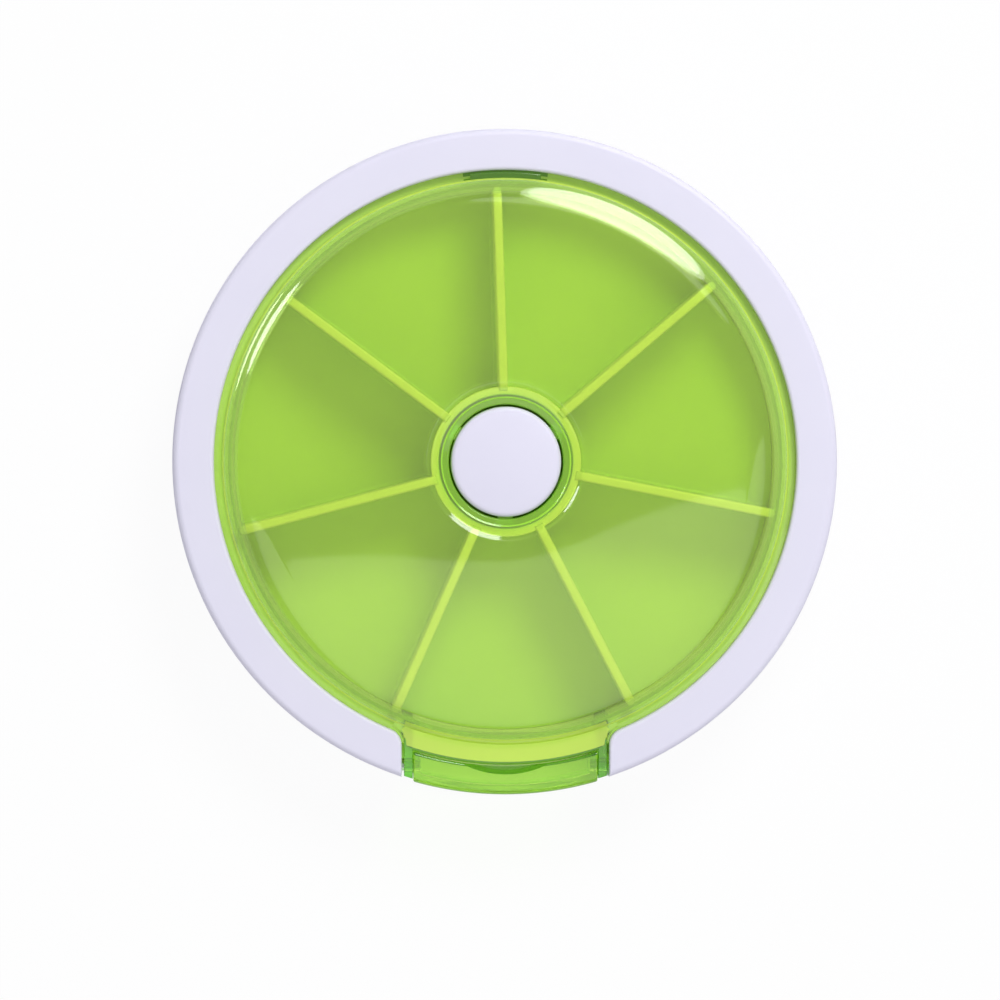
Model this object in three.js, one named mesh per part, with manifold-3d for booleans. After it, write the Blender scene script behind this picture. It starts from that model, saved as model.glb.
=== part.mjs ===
// Rotating pill organizer with a push button and an outlet door.
// Millimetres, +Z up, the outlet towards -Y. The origin is the middle of the footprint,
// at the height of the surface that the feet stand on.
import * as THREE from "three";
import { mergeVertices } from "three/addons/utils/BufferGeometryUtils.js";
import Module from "manifold-3d";

const wasm = await Module();
wasm.setup();

// Driving dimensions of the case
const CASE_R = 45;
const RIM_R = 44.8;
const RIM_INNER_R = 39.3;
const UNDERSIDE_Z = 0.6;
const FLOOR_Z = 2.2;
const PARTING_Z = 12;
const LIP_Z = 15.8;
const RIM_TOP_Z = 17.5;
const EDGE_RADIUS = 3;
const RIM_EDGE = 1.3;
const RIM_INNER_EDGE = 0.5;
const WALL = 1.6;
const LAP = 0.5;
const LAP_HEIGHT = 1;
const PILLAR_R = 2.2;
const GAP = 0.3;
// how far joined solids sink into each other, and how far a cutter reaches past what it cuts
const SINK = 0.2;
const PAST = 1;
const OUTSIDE = 46;

// Driving dimensions of the wall round the tray, which carries the cover on its seat
const ROOM_R = 37;
const ROOM_WALL_R = 38.4;
const SEAT_R = 39.6;
const SEAT_Z = 14.6;
const SEAT_THICKNESS = 1.4;

// Driving dimensions of the cover
const FLANGE_R = 40.6;
const COLLAR_INNER_R = 7.7;
const COLLAR_R = 8.8;
const COLLAR_Z = 10.2;
const WELL_Z = 20.05;
const WELL_FROM_R = 9.8;
const WELL_TO_R = 10.8;
const CROWN_Z = 20.5;
const CROWN_DROP = 0.5;
const SHOULDER_R = 32.6;
const SHOULDER_BEND = 8.3;
const EDGE_BEND = 4;
const EDGE_SLOPE = 33;
const DOME_R = 38.2;
const DOME_WALL = 1.3;
const TAB_DEGREES = 14.2;
const TAB_TOP_Z = 17.3;
const TAB_ROOT_R = 37.3;

// Driving dimensions of the outlet and its door
const OUTLET_HALF = 14;
const TONGUE_R = 41;
const TONGUE_Z = 16.9;
const TONGUE_WALL = 1.3;
const CHEEK_INNER = 12.75;
const CHEEK_R = 44.6;
const LID_HALF = 12.45;
const LID_WALL = 1.2;
const CORNER_RADIUS = 2.3;
const PIVOT_Y = -41.3;
const PIVOT_Z = 6.2;
const PIN_R = 0.7;
const PIN_BORE_R = 0.95;
const PIN_FROM_X = 11.5;
const PIN_TO_X = 15;
const PIVOT_BOSS_WIDTH = 2.6;
const PIVOT_BOSS_Y = [-43.6, -39.9];
const PIVOT_BOSS_TOP_Z = 8.4;
const KNUCKLE_R = 1.7;
const WEB_Y = [-42.8, -40.2];
const LID_EDGE = 0.8;
const NUB_R = 0.4;
const NUB_Y = -40.4;
const CRADLE_R = 43;
const NOTCH_HALF = 6.2;
const NOTCH_DEPTH = 1.15;
const SWING_R = CASE_R + PIVOT_Y;
const DOORWAY_R = 30;

// Driving dimensions of the tray
const COMPARTMENTS = 7;
const PITCH = 360 / COMPARTMENTS;
const FIRST_SPOKE = 91.8;
const TRAY_R = 36.6;
const TRAY_BORE_R = 6.5;
const TRAY_Z = 4;
const TRAY_FLOOR_Z = 5.2;
const HUB_INNER_R = 9.1;
const HUB_R = 10.3;
const HUB_TOP_Z = 18;
const SPOKE_THICKNESS = 1.2;
const SPOKE_ROOT_R = 9.6;
const RUNNING_GAP = 0.4;
const TOOTH_BACK_R = 8.5;
const TOOTH_DEGREES = 10;
const TOOTH_TIP_R = 8;
const TOOTH_TOP_Z = 9;
const DETENT_R = 22;
const DETENT_LENGTH = 5.8;
const DETENT_HALF_WIDTH = 2;
const DETENT_DEPTH = 0.7;
const WASHER_INNER_R = 9.8;
const WASHER_LEDGE_R = 12.7;
const WASHER_Z = 3.6;
const WASHER_KERB = 0.6;
const CLICK_SCREW_Y = -13;
const CLICK_WIDTH = 5;
const CLICK_THICKNESS = 0.4;
const CLICK_BORE_R = 0.95;
const CLICK_SCREW_R = 0.7;
const CLICK_SCREW_HEAD_R = 1.5;
const CLICK_SCREW_TIP_Z = 1.1;

// Driving dimensions of the button and its spiral drive
const BUTTON_R = 7.4;
const BUTTON_INNER_R = 6.2;
const BUTTON_TOP_Z = 21;
const BUTTON_CEILING_Z = 19;
const BUTTON_SKIRT_Z = 13.4;
const BUTTON_EDGE = 0.9;
const SOCKET_R = 4.2;
const SOCKET_INNER_R = 3;
const SOCKET_Z = 16.4;
const KEY_R = 8.5;
const KEY_WIDTH = 2;
const KEY_TOP_Z = 14.8;
const KEY_ANGLES = [30, 150, 270];
const STEM_CORE_R = 2.2;
const STEM_RIB_R = 3;
const STEM_RIB_WIDTH = 1.6;
const STEM_LEAD = 28;
const STEM_Z = 6.8;
const STEM_CLEARANCE = 0.35;
const STEM_HEAD_R = 2.7;
const STEM_HEAD_Z = 15.8;
const NUT_R = 5.8;
const NUT_Z = 5.4;
const NUT_TOP_Z = 9.4;
const POST_R = 4.6;
const POST_TOP_Z = 6.6;
const POST_BORE_R = 3.4;
const NUT_KEY_TIP_R = 6.5;
const NUT_KEY_WIDTH = 1.6;
const PAWL_Z = 5.6;
const PAWL_TOP_Z = 8.4;
const PAWL_TIP_R = 8.7;
const PAWL_RING_R = 7.2;
const PAWL_ROOT = 0.4;
const PAWL_TIP = 0.8;
const PAWL_DEGREES = 48;
const PAWL_LEAD = 3;
const SPRING_MEAN_R = 4.9;
const SPRING_WIRE_R = 0.35;
const SPRING_TURNS = 5;
const SPRING_SEAT_Z = 9.9;

// Fasteners and feet
const CORNER_ANGLES = [45, 135, 225, 315];
const SCREW_CIRCLE_R = 41.5;
const SCREW_R = 0.65;
const SCREW_BORE_R = 0.9;
const SCREW_HEAD_R = 1.6;
const BOSS_R = 1.6;
const SCREW_SEAT_Z = 2.4;
const SCREW_HEAD = 1.4;
const SCREW_TIP_Z = 14.9;
const FOOT_CIRCLE_R = 31;
const FOOT_R = 4;
const FOOT_TOP_Z = 1.2;
const FOOT_EDGE = 0.3;

const LARGE = 56;
const MEDIUM = 28;
const SMALL = 16;

const material = (color, roughness, more = {}) =>
  new THREE.MeshStandardMaterial({ color, roughness, metalness: 0, ...more });
const whitePlastic = () => material(0xe3dff3, 0.35);
const clearGreen = () => material(0x9fd63c, 0.08, { transparent: true, opacity: 0.55 });
const limePlastic = () => material(0xb4e04e, 0.45);
const softWhite = () => material(0xf2f0ea, 0.5);
const steel = () => material(0xc4c6c8, 0.3, { metalness: 1 });
const rubber = () => material(0x6d6f73, 0.8);

const radians = THREE.MathUtils.degToRad;
const polar = (radius, degrees) => [
  radius * Math.cos(radians(degrees)),
  radius * Math.sin(radians(degrees)),
];

// Points along an arc round a centre, both ends included
function arc(cx, cy, radius, from, to, steps) {
  return Array.from({ length: steps + 1 }, (_, i) => {
    const [x, y] = polar(radius, from + ((to - from) * i) / steps);
    return [cx + x, cy + y];
  });
}

function toSolid(geometry) {
  geometry.deleteAttribute("normal");
  geometry.deleteAttribute("uv");
  const merged = mergeVertices(geometry);
  const corners = merged.index.array;
  const triangles = [];
  for (let i = 0; i < corners.length; i += 3) {
    const [a, b, c] = corners.slice(i, i + 3);
    if (a !== b && b !== c && c !== a) {
      triangles.push(a, b, c);
    }
  }
  const mesh = new wasm.Mesh({
    numProp: 3,
    vertProperties: new Float32Array(merged.attributes.position.array),
    triVerts: new Uint32Array(triangles),
  });
  return new wasm.Manifold(mesh);
}

function toGeometry(solid) {
  const mesh = solid.getMesh();
  const geometry = new THREE.BufferGeometry();
  geometry.setAttribute("position", new THREE.BufferAttribute(mesh.vertProperties, 3));
  geometry.setIndex(new THREE.BufferAttribute(mesh.triVerts, 1));
  geometry.computeVertexNormals();
  return geometry;
}

// A full turn of a closed [radius, height] outline, in either direction
function turned(outline, segments) {
  const twiceArea = outline.reduce((sum, [r, z], i) => {
    const [nextR, nextZ] = outline[(i + 1) % outline.length];
    return sum + r * nextZ - nextR * z;
  }, 0);
  const ordered = twiceArea > 0 ? outline : [...outline].reverse();
  const points = [...ordered, ordered[0]].map(([r, z]) => new THREE.Vector2(r, z));
  const geometry = new THREE.LatheGeometry(points, segments);
  geometry.rotateX(Math.PI / 2);
  return toSolid(geometry);
}

const ring = (inner, outer, low, high, segments) =>
  turned([[inner, low], [outer, low], [outer, high], [inner, high]], segments);

const flatShape = (outline) => new THREE.Shape(outline.map(([x, y]) => new THREE.Vector2(x, y)));

// A flat outline raised from one height to another
function prism(outline, low, high) {
  const options = { depth: high - low, bevelEnabled: false };
  const geometry = new THREE.ExtrudeGeometry(flatShape(outline), options);
  geometry.translate(0, 0, low);
  return toSolid(geometry);
}

// A flat [y, z] outline carried along X
function sidePrism(outline, fromX, toX) {
  const options = { depth: toX - fromX, bevelEnabled: false };
  const geometry = new THREE.ExtrudeGeometry(flatShape(outline), options);
  geometry.rotateY(Math.PI / 2);
  geometry.rotateX(Math.PI / 2);
  geometry.translate(fromX, 0, 0);
  return toSolid(geometry);
}

function block([x0, x1], [y0, y1], [z0, z1]) {
  const geometry = new THREE.BoxGeometry(x1 - x0, y1 - y0, z1 - z0);
  geometry.translate((x0 + x1) / 2, (y0 + y1) / 2, (z0 + z1) / 2);
  return toSolid(geometry);
}

// An upright rod
function rod(radius, [x, y], low, high, segments = SMALL) {
  const geometry = new THREE.CylinderGeometry(radius, radius, high - low, segments);
  geometry.rotateX(Math.PI / 2);
  geometry.translate(x, y, (low + high) / 2);
  return toSolid(geometry);
}

// A rod along X on the lid's pivot line
function pivotRod(radius, fromX, toX, segments = SMALL) {
  const geometry = new THREE.CylinderGeometry(radius, radius, toX - fromX, segments);
  geometry.rotateZ(Math.PI / 2);
  geometry.translate((fromX + toX) / 2, PIVOT_Y, PIVOT_Z);
  return toSolid(geometry);
}

// A block that points out along a direction in the XY plane
function spokeBlock(degrees, [inner, outer], width, low, high) {
  const geometry = new THREE.BoxGeometry(outer - inner, width, high - low);
  geometry.translate((inner + outer) / 2, 0, (low + high) / 2);
  geometry.rotateZ(radians(degrees));
  return toSolid(geometry);
}

const joined = (first, ...others) => others.reduce((sum, other) => sum.add(other), first);
const cut = (first, ...others) => others.reduce((rest, other) => rest.subtract(other), first);
const bothSides = (build) => [build(1), build(-1)];
const spanX = (side, from, to) => (side > 0 ? [from, to] : [-to, -from]);

// The rounded corner where the ring's inner edge meets the outlet
const CORNER_X = OUTLET_HALF + CORNER_RADIUS;
const CORNER_Y = -Math.sqrt((RIM_INNER_R + CORNER_RADIUS) ** 2 - CORNER_X ** 2);
const CORNER_TURN = 90 + THREE.MathUtils.radToDeg(Math.atan2(CORNER_X, -CORNER_Y));

const cornerArc = (radius) => arc(CORNER_X, CORNER_Y, radius, 180, CORNER_TURN, 6);
const mirrored = (points) => points.map(([x, y]) => [-x, y]).reverse();

// How far the cover's top falls from its crown towards the shoulder
const crownDrop = (r) => CROWN_DROP * ((r - WELL_TO_R) / (SHOULDER_R - WELL_TO_R)) ** 2;
const CROWN_STEPS = [17, 23, 28.5];

// A smooth rise between two [radius, height] points
function rise([r0, z0], [r1, z1], steps) {
  return Array.from({ length: steps + 1 }, (_, i) => {
    const t = i / steps;
    return [r0 + (r1 - r0) * t, z0 + (z1 - z0) * t * t * (3 - 2 * t)];
  });
}

// The dome's shoulder out to a radius, inset from its outer face: a slow bend, then a tighter one
function shoulder(inset, endR, steps) {
  const centreZ = CROWN_Z - CROWN_DROP - SHOULDER_BEND;
  const [across, up] = polar(SHOULDER_BEND - EDGE_BEND, 90 - EDGE_SLOPE);
  const [edgeR, edgeZ] = [SHOULDER_R + across, centreZ + up];
  const bend = EDGE_BEND - inset;
  const last = THREE.MathUtils.radToDeg(Math.acos((endR - edgeR) / bend));
  return [
    ...arc(SHOULDER_R, centreZ, SHOULDER_BEND - inset, 90, 90 - EDGE_SLOPE, steps),
    ...arc(edgeR, edgeZ, bend, 90 - EDGE_SLOPE, last, steps).slice(1),
  ];
}

// Underside of the dome, from the collar out to the wall round the tray
function domeUnderside(drop) {
  const under = CROWN_Z - DOME_WALL - drop;
  const well = WELL_Z - DOME_WALL - drop;
  return [
    [COLLAR_R, well],
    ...rise([WELL_FROM_R, well], [WELL_TO_R, under], 3),
    ...CROWN_STEPS.map((r) => [r, under - crownDrop(r)]),
    ...shoulder(DOME_WALL + drop, ROOM_R - drop, 3),
  ];
}

function baseShell() {
  const edge = CASE_R - EDGE_RADIUS;
  const edgeZ = UNDERSIDE_Z + EDGE_RADIUS;
  const inner = CASE_R - WALL;
  const outline = [
    [0, UNDERSIDE_Z],
    ...arc(edge, edgeZ, EDGE_RADIUS, -90, 0, 4),
    [CASE_R, PARTING_Z],
    [inner + LAP, PARTING_Z],
    [inner + LAP, PARTING_Z + LAP_HEIGHT],
    [inner, PARTING_Z + LAP_HEIGHT],
    ...arc(edge, edgeZ, EDGE_RADIUS - WALL, 0, -90, 2),
    [0, FLOOR_Z],
  ];
  const root = FLOOR_Z - SINK;
  const ledge = [
    [WASHER_LEDGE_R + WASHER_KERB, root],
    [WASHER_LEDGE_R + WASHER_KERB, WASHER_Z + SINK],
    [WASHER_LEDGE_R, WASHER_Z + SINK],
    [WASHER_LEDGE_R, WASHER_Z],
    [WASHER_INNER_R - 0.4, WASHER_Z],
    [WASHER_INNER_R - 0.4, root],
  ];
  const post = [
    [TRAY_BORE_R - GAP, root],
    [TRAY_BORE_R - GAP, NUT_Z],
    [POST_R, NUT_Z],
    [POST_R, POST_TOP_Z],
    [POST_BORE_R, POST_TOP_Z],
    [POST_BORE_R, root],
  ];
  const doorway = block([-OUTLET_HALF, OUTLET_HALF], [-OUTSIDE, -DOORWAY_R], [0, RIM_TOP_Z]);
  const roomWall = cut(
    turned(
      [
        [ROOM_R, root],
        [ROOM_WALL_R, root],
        [ROOM_WALL_R, SEAT_Z - SEAT_THICKNESS],
        [SEAT_R, SEAT_Z - SEAT_THICKNESS],
        [SEAT_R, SEAT_Z],
        [ROOM_R, SEAT_Z],
      ],
      LARGE,
    ),
    doorway,
  );
  const pillars = CORNER_ANGLES.map((a) =>
    rod(PILLAR_R, polar(SCREW_CIRCLE_R, a), root, PARTING_Z),
  );
  const bounds = rod(CASE_R - SINK, [0, 0], 0, PARTING_Z, LARGE);
  const bossHeight = [root, PIVOT_BOSS_TOP_Z];
  const pivotBosses = bothSides((side) => {
    const width = spanX(side, OUTLET_HALF, OUTLET_HALF + PIVOT_BOSS_WIDTH);
    return block(width, PIVOT_BOSS_Y, bossHeight).intersect(bounds);
  });
  // a hollow ramp under the door, just clear of its swing
  const cradle = cut(
    ring(ROOM_R, CRADLE_R, root, TRAY_FLOOR_Z, LARGE).intersect(
      block([-LID_HALF, LID_HALF], [PIVOT_Y, -DOORWAY_R], [0, PARTING_Z]),
    ),
    pivotRod(SWING_R + GAP, -PIN_TO_X, PIN_TO_X, 32),
  );
  const bowl = cut(
    joined(turned(outline, LARGE), turned(ledge, MEDIUM), turned(post, MEDIUM), ...pillars),
    block([-OUTLET_HALF, OUTLET_HALF], [-OUTSIDE, -ROOM_WALL_R], [FLOOR_Z, PARTING_Z + 2 * PAST]),
  );
  const screwBores = CORNER_ANGLES.flatMap((a) => [
    rod(SCREW_BORE_R, polar(SCREW_CIRCLE_R, a), 0, PARTING_Z + PAST),
    rod(SCREW_HEAD_R + GAP, polar(SCREW_CIRCLE_R, a), 0, SCREW_SEAT_Z),
  ]);
  const footPockets = CORNER_ANGLES.map((a) =>
    rod(FOOT_R + GAP, polar(FOOT_CIRCLE_R, a), 0, FOOT_TOP_Z, 24),
  );
  const pivotBores = bothSides((side) =>
    pivotRod(PIN_BORE_R, ...spanX(side, OUTLET_HALF - PAST, PIN_TO_X + 0.1)),
  );
  const clickPlace = [DETENT_R, CLICK_SCREW_Y];
  const clickScrewBore = rod(CLICK_BORE_R, clickPlace, CLICK_SCREW_TIP_Z - SINK, FLOOR_Z + PAST);
  return cut(
    joined(bowl, roomWall, cradle, ...pivotBosses),
    ...screwBores,
    ...footPockets,
    ...pivotBores,
    clickScrewBore,
  );
}

function rimRing() {
  const inner = CASE_R - WALL;
  const lapTop = PARTING_Z + LAP_HEIGHT + GAP;
  const [edge, innerEdge] = [RIM_EDGE, RIM_INNER_EDGE];
  const outline = [
    [inner + LAP + GAP, PARTING_Z],
    [RIM_R, PARTING_Z],
    ...arc(RIM_R - edge, RIM_TOP_Z - edge, edge, 0, 90, 4),
    ...arc(RIM_INNER_R + innerEdge, RIM_TOP_Z - innerEdge, innerEdge, 90, 180, 2),
    [RIM_INNER_R, LIP_Z],
    [inner, LIP_Z],
    [inner, lapTop],
    [inner + LAP + GAP, lapTop],
  ];
  const bosses = CORNER_ANGLES.map((a) =>
    rod(BOSS_R, polar(SCREW_CIRCLE_R, a), PARTING_Z, LIP_Z + 2 * SINK),
  );
  const bores = CORNER_ANGLES.map((a) =>
    rod(SCREW_BORE_R, polar(SCREW_CIRCLE_R, a), PARTING_Z - PAST, SCREW_TIP_Z + LAP),
  );
  const side = [[OUTLET_HALF, -OUTSIDE], ...cornerArc(CORNER_RADIUS), [OUTLET_HALF + LAP, -DOORWAY_R]];
  const outlet = prism([...side, ...mirrored(side)], PARTING_Z - PAST, RIM_TOP_Z + PAST);
  return cut(joined(turned(outline, LARGE), ...bosses), ...bores, outlet);
}

function coverShell() {
  const outline = [
    [COLLAR_INNER_R, COLLAR_Z],
    [COLLAR_INNER_R, WELL_Z - SINK],
    [COLLAR_INNER_R + SINK, WELL_Z],
    ...rise([WELL_FROM_R, WELL_Z], [WELL_TO_R, CROWN_Z], 4),
    ...CROWN_STEPS.map((r) => [r, CROWN_Z - crownDrop(r)]),
    ...shoulder(0, DOME_R, 4),
    [DOME_R, LIP_Z],
    [FLANGE_R, LIP_Z],
    [FLANGE_R, SEAT_Z],
    [ROOM_R, SEAT_Z],
    ...domeUnderside(0).reverse(),
    [COLLAR_R, COLLAR_Z],
  ];
  const slotReach = [COLLAR_INNER_R - PAST + SINK, COLLAR_R + GAP];
  const keySlots = KEY_ANGLES.map((a) =>
    spokeBlock(a, slotReach, KEY_WIDTH + 2 * GAP, COLLAR_Z - PAST, KEY_TOP_Z + SINK),
  );
  const bossNotches = CORNER_ANGLES.map((a) =>
    rod(BOSS_R + GAP + 0.05, polar(SCREW_CIRCLE_R, a), SEAT_Z - PAST, LIP_Z + SINK),
  );
  return cut(turned(outline, LARGE), ...keySlots, ...bossNotches);
}

function coverOutlet() {
  const joint = ROOM_R + SINK;
  const half = OUTLET_HALF - GAP;
  const swing = THREE.MathUtils.radToDeg(Math.asin(half / TONGUE_R));
  const corner = cornerArc(CORNER_RADIUS + GAP);
  const tongueOutline = [
    ...arc(0, 0, TONGUE_R, -90 - swing, -90 + swing, 10),
    ...corner,
    ...arc(0, 0, joint, CORNER_TURN - 180, -CORNER_TURN, 10),
    ...mirrored(corner),
  ];
  const tongue = prism(tongueOutline, TONGUE_Z - TONGUE_WALL, TONGUE_Z);
  const reach = ring(joint, CHEEK_R, FLOOR_Z, TONGUE_Z, LARGE);
  const slotWidth = [PIVOT_Y - PIN_BORE_R, PIVOT_Y + PIN_BORE_R];
  const cheeks = bothSides((side) =>
    cut(
      block(spanX(side, CHEEK_INNER, half), [-OUTSIDE, -DOORWAY_R], [FLOOR_Z, TONGUE_Z]).intersect(reach),
      pivotRod(PIN_BORE_R, ...spanX(side, PIN_FROM_X, PIN_TO_X)),
      block(spanX(side, PIN_FROM_X, PIN_TO_X), slotWidth, [FLOOR_Z - PAST, PIVOT_Z]),
    ),
  );
  return [tongue, ...cheeks];
}

function cover() {
  const tabEdge = (radius, turn) =>
    arc(0, 0, radius, 90 - (turn * TAB_DEGREES) / 2, 90 + (turn * TAB_DEGREES) / 2, 4);
  const tab = prism(
    [...tabEdge(RIM_INNER_R - GAP, 1), ...tabEdge(TAB_ROOT_R, -1)],
    LIP_Z - SINK,
    TAB_TOP_Z,
  );
  return joined(coverShell(), ...coverOutlet(), tab);
}

// Spokes fill the room under the dome, less a running gap
function spokes() {
  const length = TRAY_R - SPOKE_THICKNESS / 2;
  const half = SPOKE_THICKNESS / 2;
  const outline = [[SPOKE_ROOT_R, -half], ...arc(length, 0, half, -90, 90, 4), [SPOKE_ROOT_R, half]];
  const low = TRAY_FLOOR_Z - 2 * SINK;
  const room = turned(
    [[COLLAR_R, low], ...domeUnderside(RUNNING_GAP), [ROOM_R - RUNNING_GAP, low]],
    LARGE,
  );
  return Array.from({ length: COMPARTMENTS }, (_, i) =>
    prism(outline, low, CROWN_Z).rotate([0, 0, FIRST_SPOKE + i * PITCH]),
  ).map((spoke) => spoke.intersect(room));
}

// Saw teeth inside the hub: the steep side faces the pawls that push forward
function ratchetTooth(degrees) {
  const root = HUB_INNER_R + 2 * SINK;
  const outline = [
    polar(root, degrees),
    polar(TOOTH_TIP_R, degrees),
    polar(TOOTH_BACK_R, degrees + TOOTH_DEGREES),
    polar(root, degrees + 2 * TOOTH_DEGREES),
  ];
  return prism(outline, TRAY_FLOOR_Z - SINK, TOOTH_TOP_Z);
}

function detentNotch(degrees) {
  const [low, high] = [TRAY_Z - 0.1, TRAY_Z + DETENT_DEPTH];
  const [wide, narrow] = [DETENT_HALF_WIDTH, 0.55 * DETENT_HALF_WIDTH];
  const outline = [[-wide, low], [wide, low], [narrow, high], [-narrow, high]];
  const reach = DETENT_LENGTH / 2;
  return sidePrism(outline, DETENT_R - reach, DETENT_R + reach).rotate([0, 0, degrees]);
}

function pillTray() {
  const disc = cut(
    rod(TRAY_R, [0, 0], TRAY_Z, TRAY_FLOOR_Z, LARGE),
    rod(TRAY_BORE_R, [0, 0], TRAY_Z - PAST, TRAY_FLOOR_Z + PAST, MEDIUM),
  );
  const hub = ring(HUB_INNER_R, HUB_R, TRAY_FLOOR_Z - SINK, HUB_TOP_Z, MEDIUM);
  const stations = Array.from({ length: COMPARTMENTS }, (_, i) => i * PITCH);
  const body = joined(disc, hub, ...spokes(), ...stations.map(ratchetTooth));
  return cut(body, ...stations.map(detentNotch));
}

function pushButton() {
  const outline = [
    [0, BUTTON_TOP_Z],
    [2.5, BUTTON_TOP_Z - 0.06],
    [4.8, BUTTON_TOP_Z - 0.24],
    ...arc(BUTTON_R - BUTTON_EDGE, BUTTON_TOP_Z - LAP - BUTTON_EDGE, BUTTON_EDGE, 80, 0, 3),
    [BUTTON_R, BUTTON_SKIRT_Z],
    [BUTTON_INNER_R, BUTTON_SKIRT_Z],
    [BUTTON_INNER_R, BUTTON_CEILING_Z],
    [SOCKET_R, BUTTON_CEILING_Z],
    [SOCKET_R, SOCKET_Z],
    [SOCKET_INNER_R, SOCKET_Z],
    [SOCKET_INNER_R, BUTTON_CEILING_Z],
    [0, BUTTON_CEILING_Z],
  ];
  const keys = KEY_ANGLES.map((a) =>
    spokeBlock(a, [BUTTON_R - LAP, KEY_R], KEY_WIDTH, BUTTON_SKIRT_Z, KEY_TOP_Z),
  );
  return joined(turned(outline, MEDIUM), ...keys);
}

// Cross-section of the stem: a round core with two opposite ribs
function stemSection(grow) {
  const half = STEM_RIB_WIDTH / 2 + grow;
  const core = STEM_CORE_R + grow;
  const tip = STEM_RIB_R + grow;
  const root = THREE.MathUtils.radToDeg(Math.asin(half / core));
  const edge = THREE.MathUtils.radToDeg(Math.asin(half / tip));
  const halfTurn = [
    ...arc(0, 0, core, root, 180 - root, 4),
    ...arc(0, 0, tip, 180 - edge, 180 + edge, 2),
  ];
  return [...halfTurn, ...halfTurn.map(([x, y]) => [-x, -y])];
}

// The section carried up a right-hand spiral
function spiral(section, low, high, steps) {
  const options = { depth: high - low, steps, bevelEnabled: false };
  const geometry = new THREE.ExtrudeGeometry(flatShape(section), options);
  geometry.translate(0, 0, low);
  const place = geometry.attributes.position;
  for (let i = 0; i < place.count; i += 1) {
    const [x, y, z] = [place.getX(i), place.getY(i), place.getZ(i)];
    const turn = ((z - STEM_Z) / STEM_LEAD) * 2 * Math.PI;
    const [c, s] = [Math.cos(turn), Math.sin(turn)];
    place.setXY(i, x * c - y * s, x * s + y * c);
  }
  return toSolid(geometry);
}

function driveSpindle() {
  const head = rod(STEM_HEAD_R, [0, 0], STEM_HEAD_Z, BUTTON_CEILING_Z, 24);
  return joined(spiral(stemSection(0), STEM_Z, STEM_HEAD_Z + SINK, 8), head);
}

function driveNut() {
  const keyReach = [NUT_R - 2 * SINK, NUT_KEY_TIP_R];
  const keys = [0, 180].map((a) => spokeBlock(a, keyReach, NUT_KEY_WIDTH, PAWL_Z, PAWL_TOP_Z));
  const body = joined(rod(NUT_R, [0, 0], NUT_Z, NUT_TOP_Z, MEDIUM), ...keys);
  const thread = spiral(stemSection(STEM_CLEARANCE), NUT_Z - PAST, NUT_TOP_Z + PAST, 5);
  return cut(body, thread, rod(POST_R + GAP, [0, 0], NUT_Z - PAST, POST_TOP_Z + GAP, MEDIUM));
}

// A springy arm that leaves the ring and ends just short of a tooth's steep side
function pawlArm(tipDegrees) {
  const steps = [0, 1, 2, 3, 4, 5, 6].map((i) => i / 6);
  const edgeLine = (root, tip) =>
    steps.map((t) => polar(root + (tip - root) * t * t, tipDegrees - PAWL_DEGREES * (1 - t)));
  const root = PAWL_RING_R - 0.1;
  const outer = edgeLine(root, PAWL_TIP_R);
  const inner = edgeLine(root - PAWL_ROOT, PAWL_TIP_R - PAWL_TIP);
  return prism([...outer, ...inner.reverse()], PAWL_Z, PAWL_TOP_Z);
}

function pawlRing() {
  const slotReach = [NUT_R - GAP, NUT_KEY_TIP_R + GAP];
  const slotWidth = NUT_KEY_WIDTH + 2 * GAP;
  const slots = [0, 180].map((a) => spokeBlock(a, slotReach, slotWidth, PAWL_Z - PAST, PAWL_TOP_Z + PAST));
  const arms = [3 * PITCH - PAWL_LEAD, -PAWL_LEAD].map(pawlArm);
  const band = ring(NUT_R + GAP, PAWL_RING_R, PAWL_Z, PAWL_TOP_Z, MEDIUM);
  return cut(joined(band, ...arms), ...slots);
}

class SpringPath extends THREE.Curve {
  getPoint(t) {
    const low = SPRING_SEAT_Z + SPRING_WIRE_R + 0.05;
    const high = BUTTON_CEILING_Z - SPRING_WIRE_R - 0.05;
    const [x, y] = polar(SPRING_MEAN_R, 360 * SPRING_TURNS * t);
    return new THREE.Vector3(x, y, low + (high - low) * t);
  }
}

function buttonSpring() {
  const wire = flatShape(arc(0, 0, SPRING_WIRE_R, 0, 288, 4));
  const extrudePath = new SpringPath();
  const steps = 10 * SPRING_TURNS;
  return toSolid(new THREE.ExtrudeGeometry(wire, { extrudePath, steps, bevelEnabled: false }));
}

// Leaf spring under the tray: a flat root, a rising arm and a rounded nose
function clickSpring() {
  const line = [[-16, 0], [-10, 0], [-3, 0.7], [-1, 1.3], [-0.4, 1.7], [0.4, 1.7], [1, 1.3], [2.6, 0.5]];
  const top = line.map(([y, rise]) => [y, FLOOR_Z + CLICK_THICKNESS + rise]);
  const under = line.map(([y, rise]) => [y * (y > -2 ? 0.8 : 1), FLOOR_Z + rise]).reverse();
  const half = CLICK_WIDTH / 2;
  const leaf = sidePrism([...top, ...under], DETENT_R - half, DETENT_R + half);
  return cut(leaf, rod(CLICK_BORE_R, [DETENT_R, CLICK_SCREW_Y], FLOOR_Z - PAST, FLOOR_Z + PAST));
}

function screw(shankR, headR, seat, headHeight, tip, up) {
  const outline = [
    [0, seat - up * headHeight],
    [headR, seat - up * headHeight],
    [headR, seat],
    [shankR, seat],
    [shankR, tip - up * 0.6],
    [0.15, tip],
    [0, tip],
  ];
  return turned(outline, 12);
}

const caseScrew = () => screw(SCREW_R, SCREW_HEAD_R, SCREW_SEAT_Z, SCREW_HEAD, SCREW_TIP_Z, 1);

function clickScrew() {
  const seat = FLOOR_Z + CLICK_THICKNESS;
  return screw(CLICK_SCREW_R, CLICK_SCREW_HEAD_R, seat, 2 * CLICK_THICKNESS, CLICK_SCREW_TIP_Z, -1);
}

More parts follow.
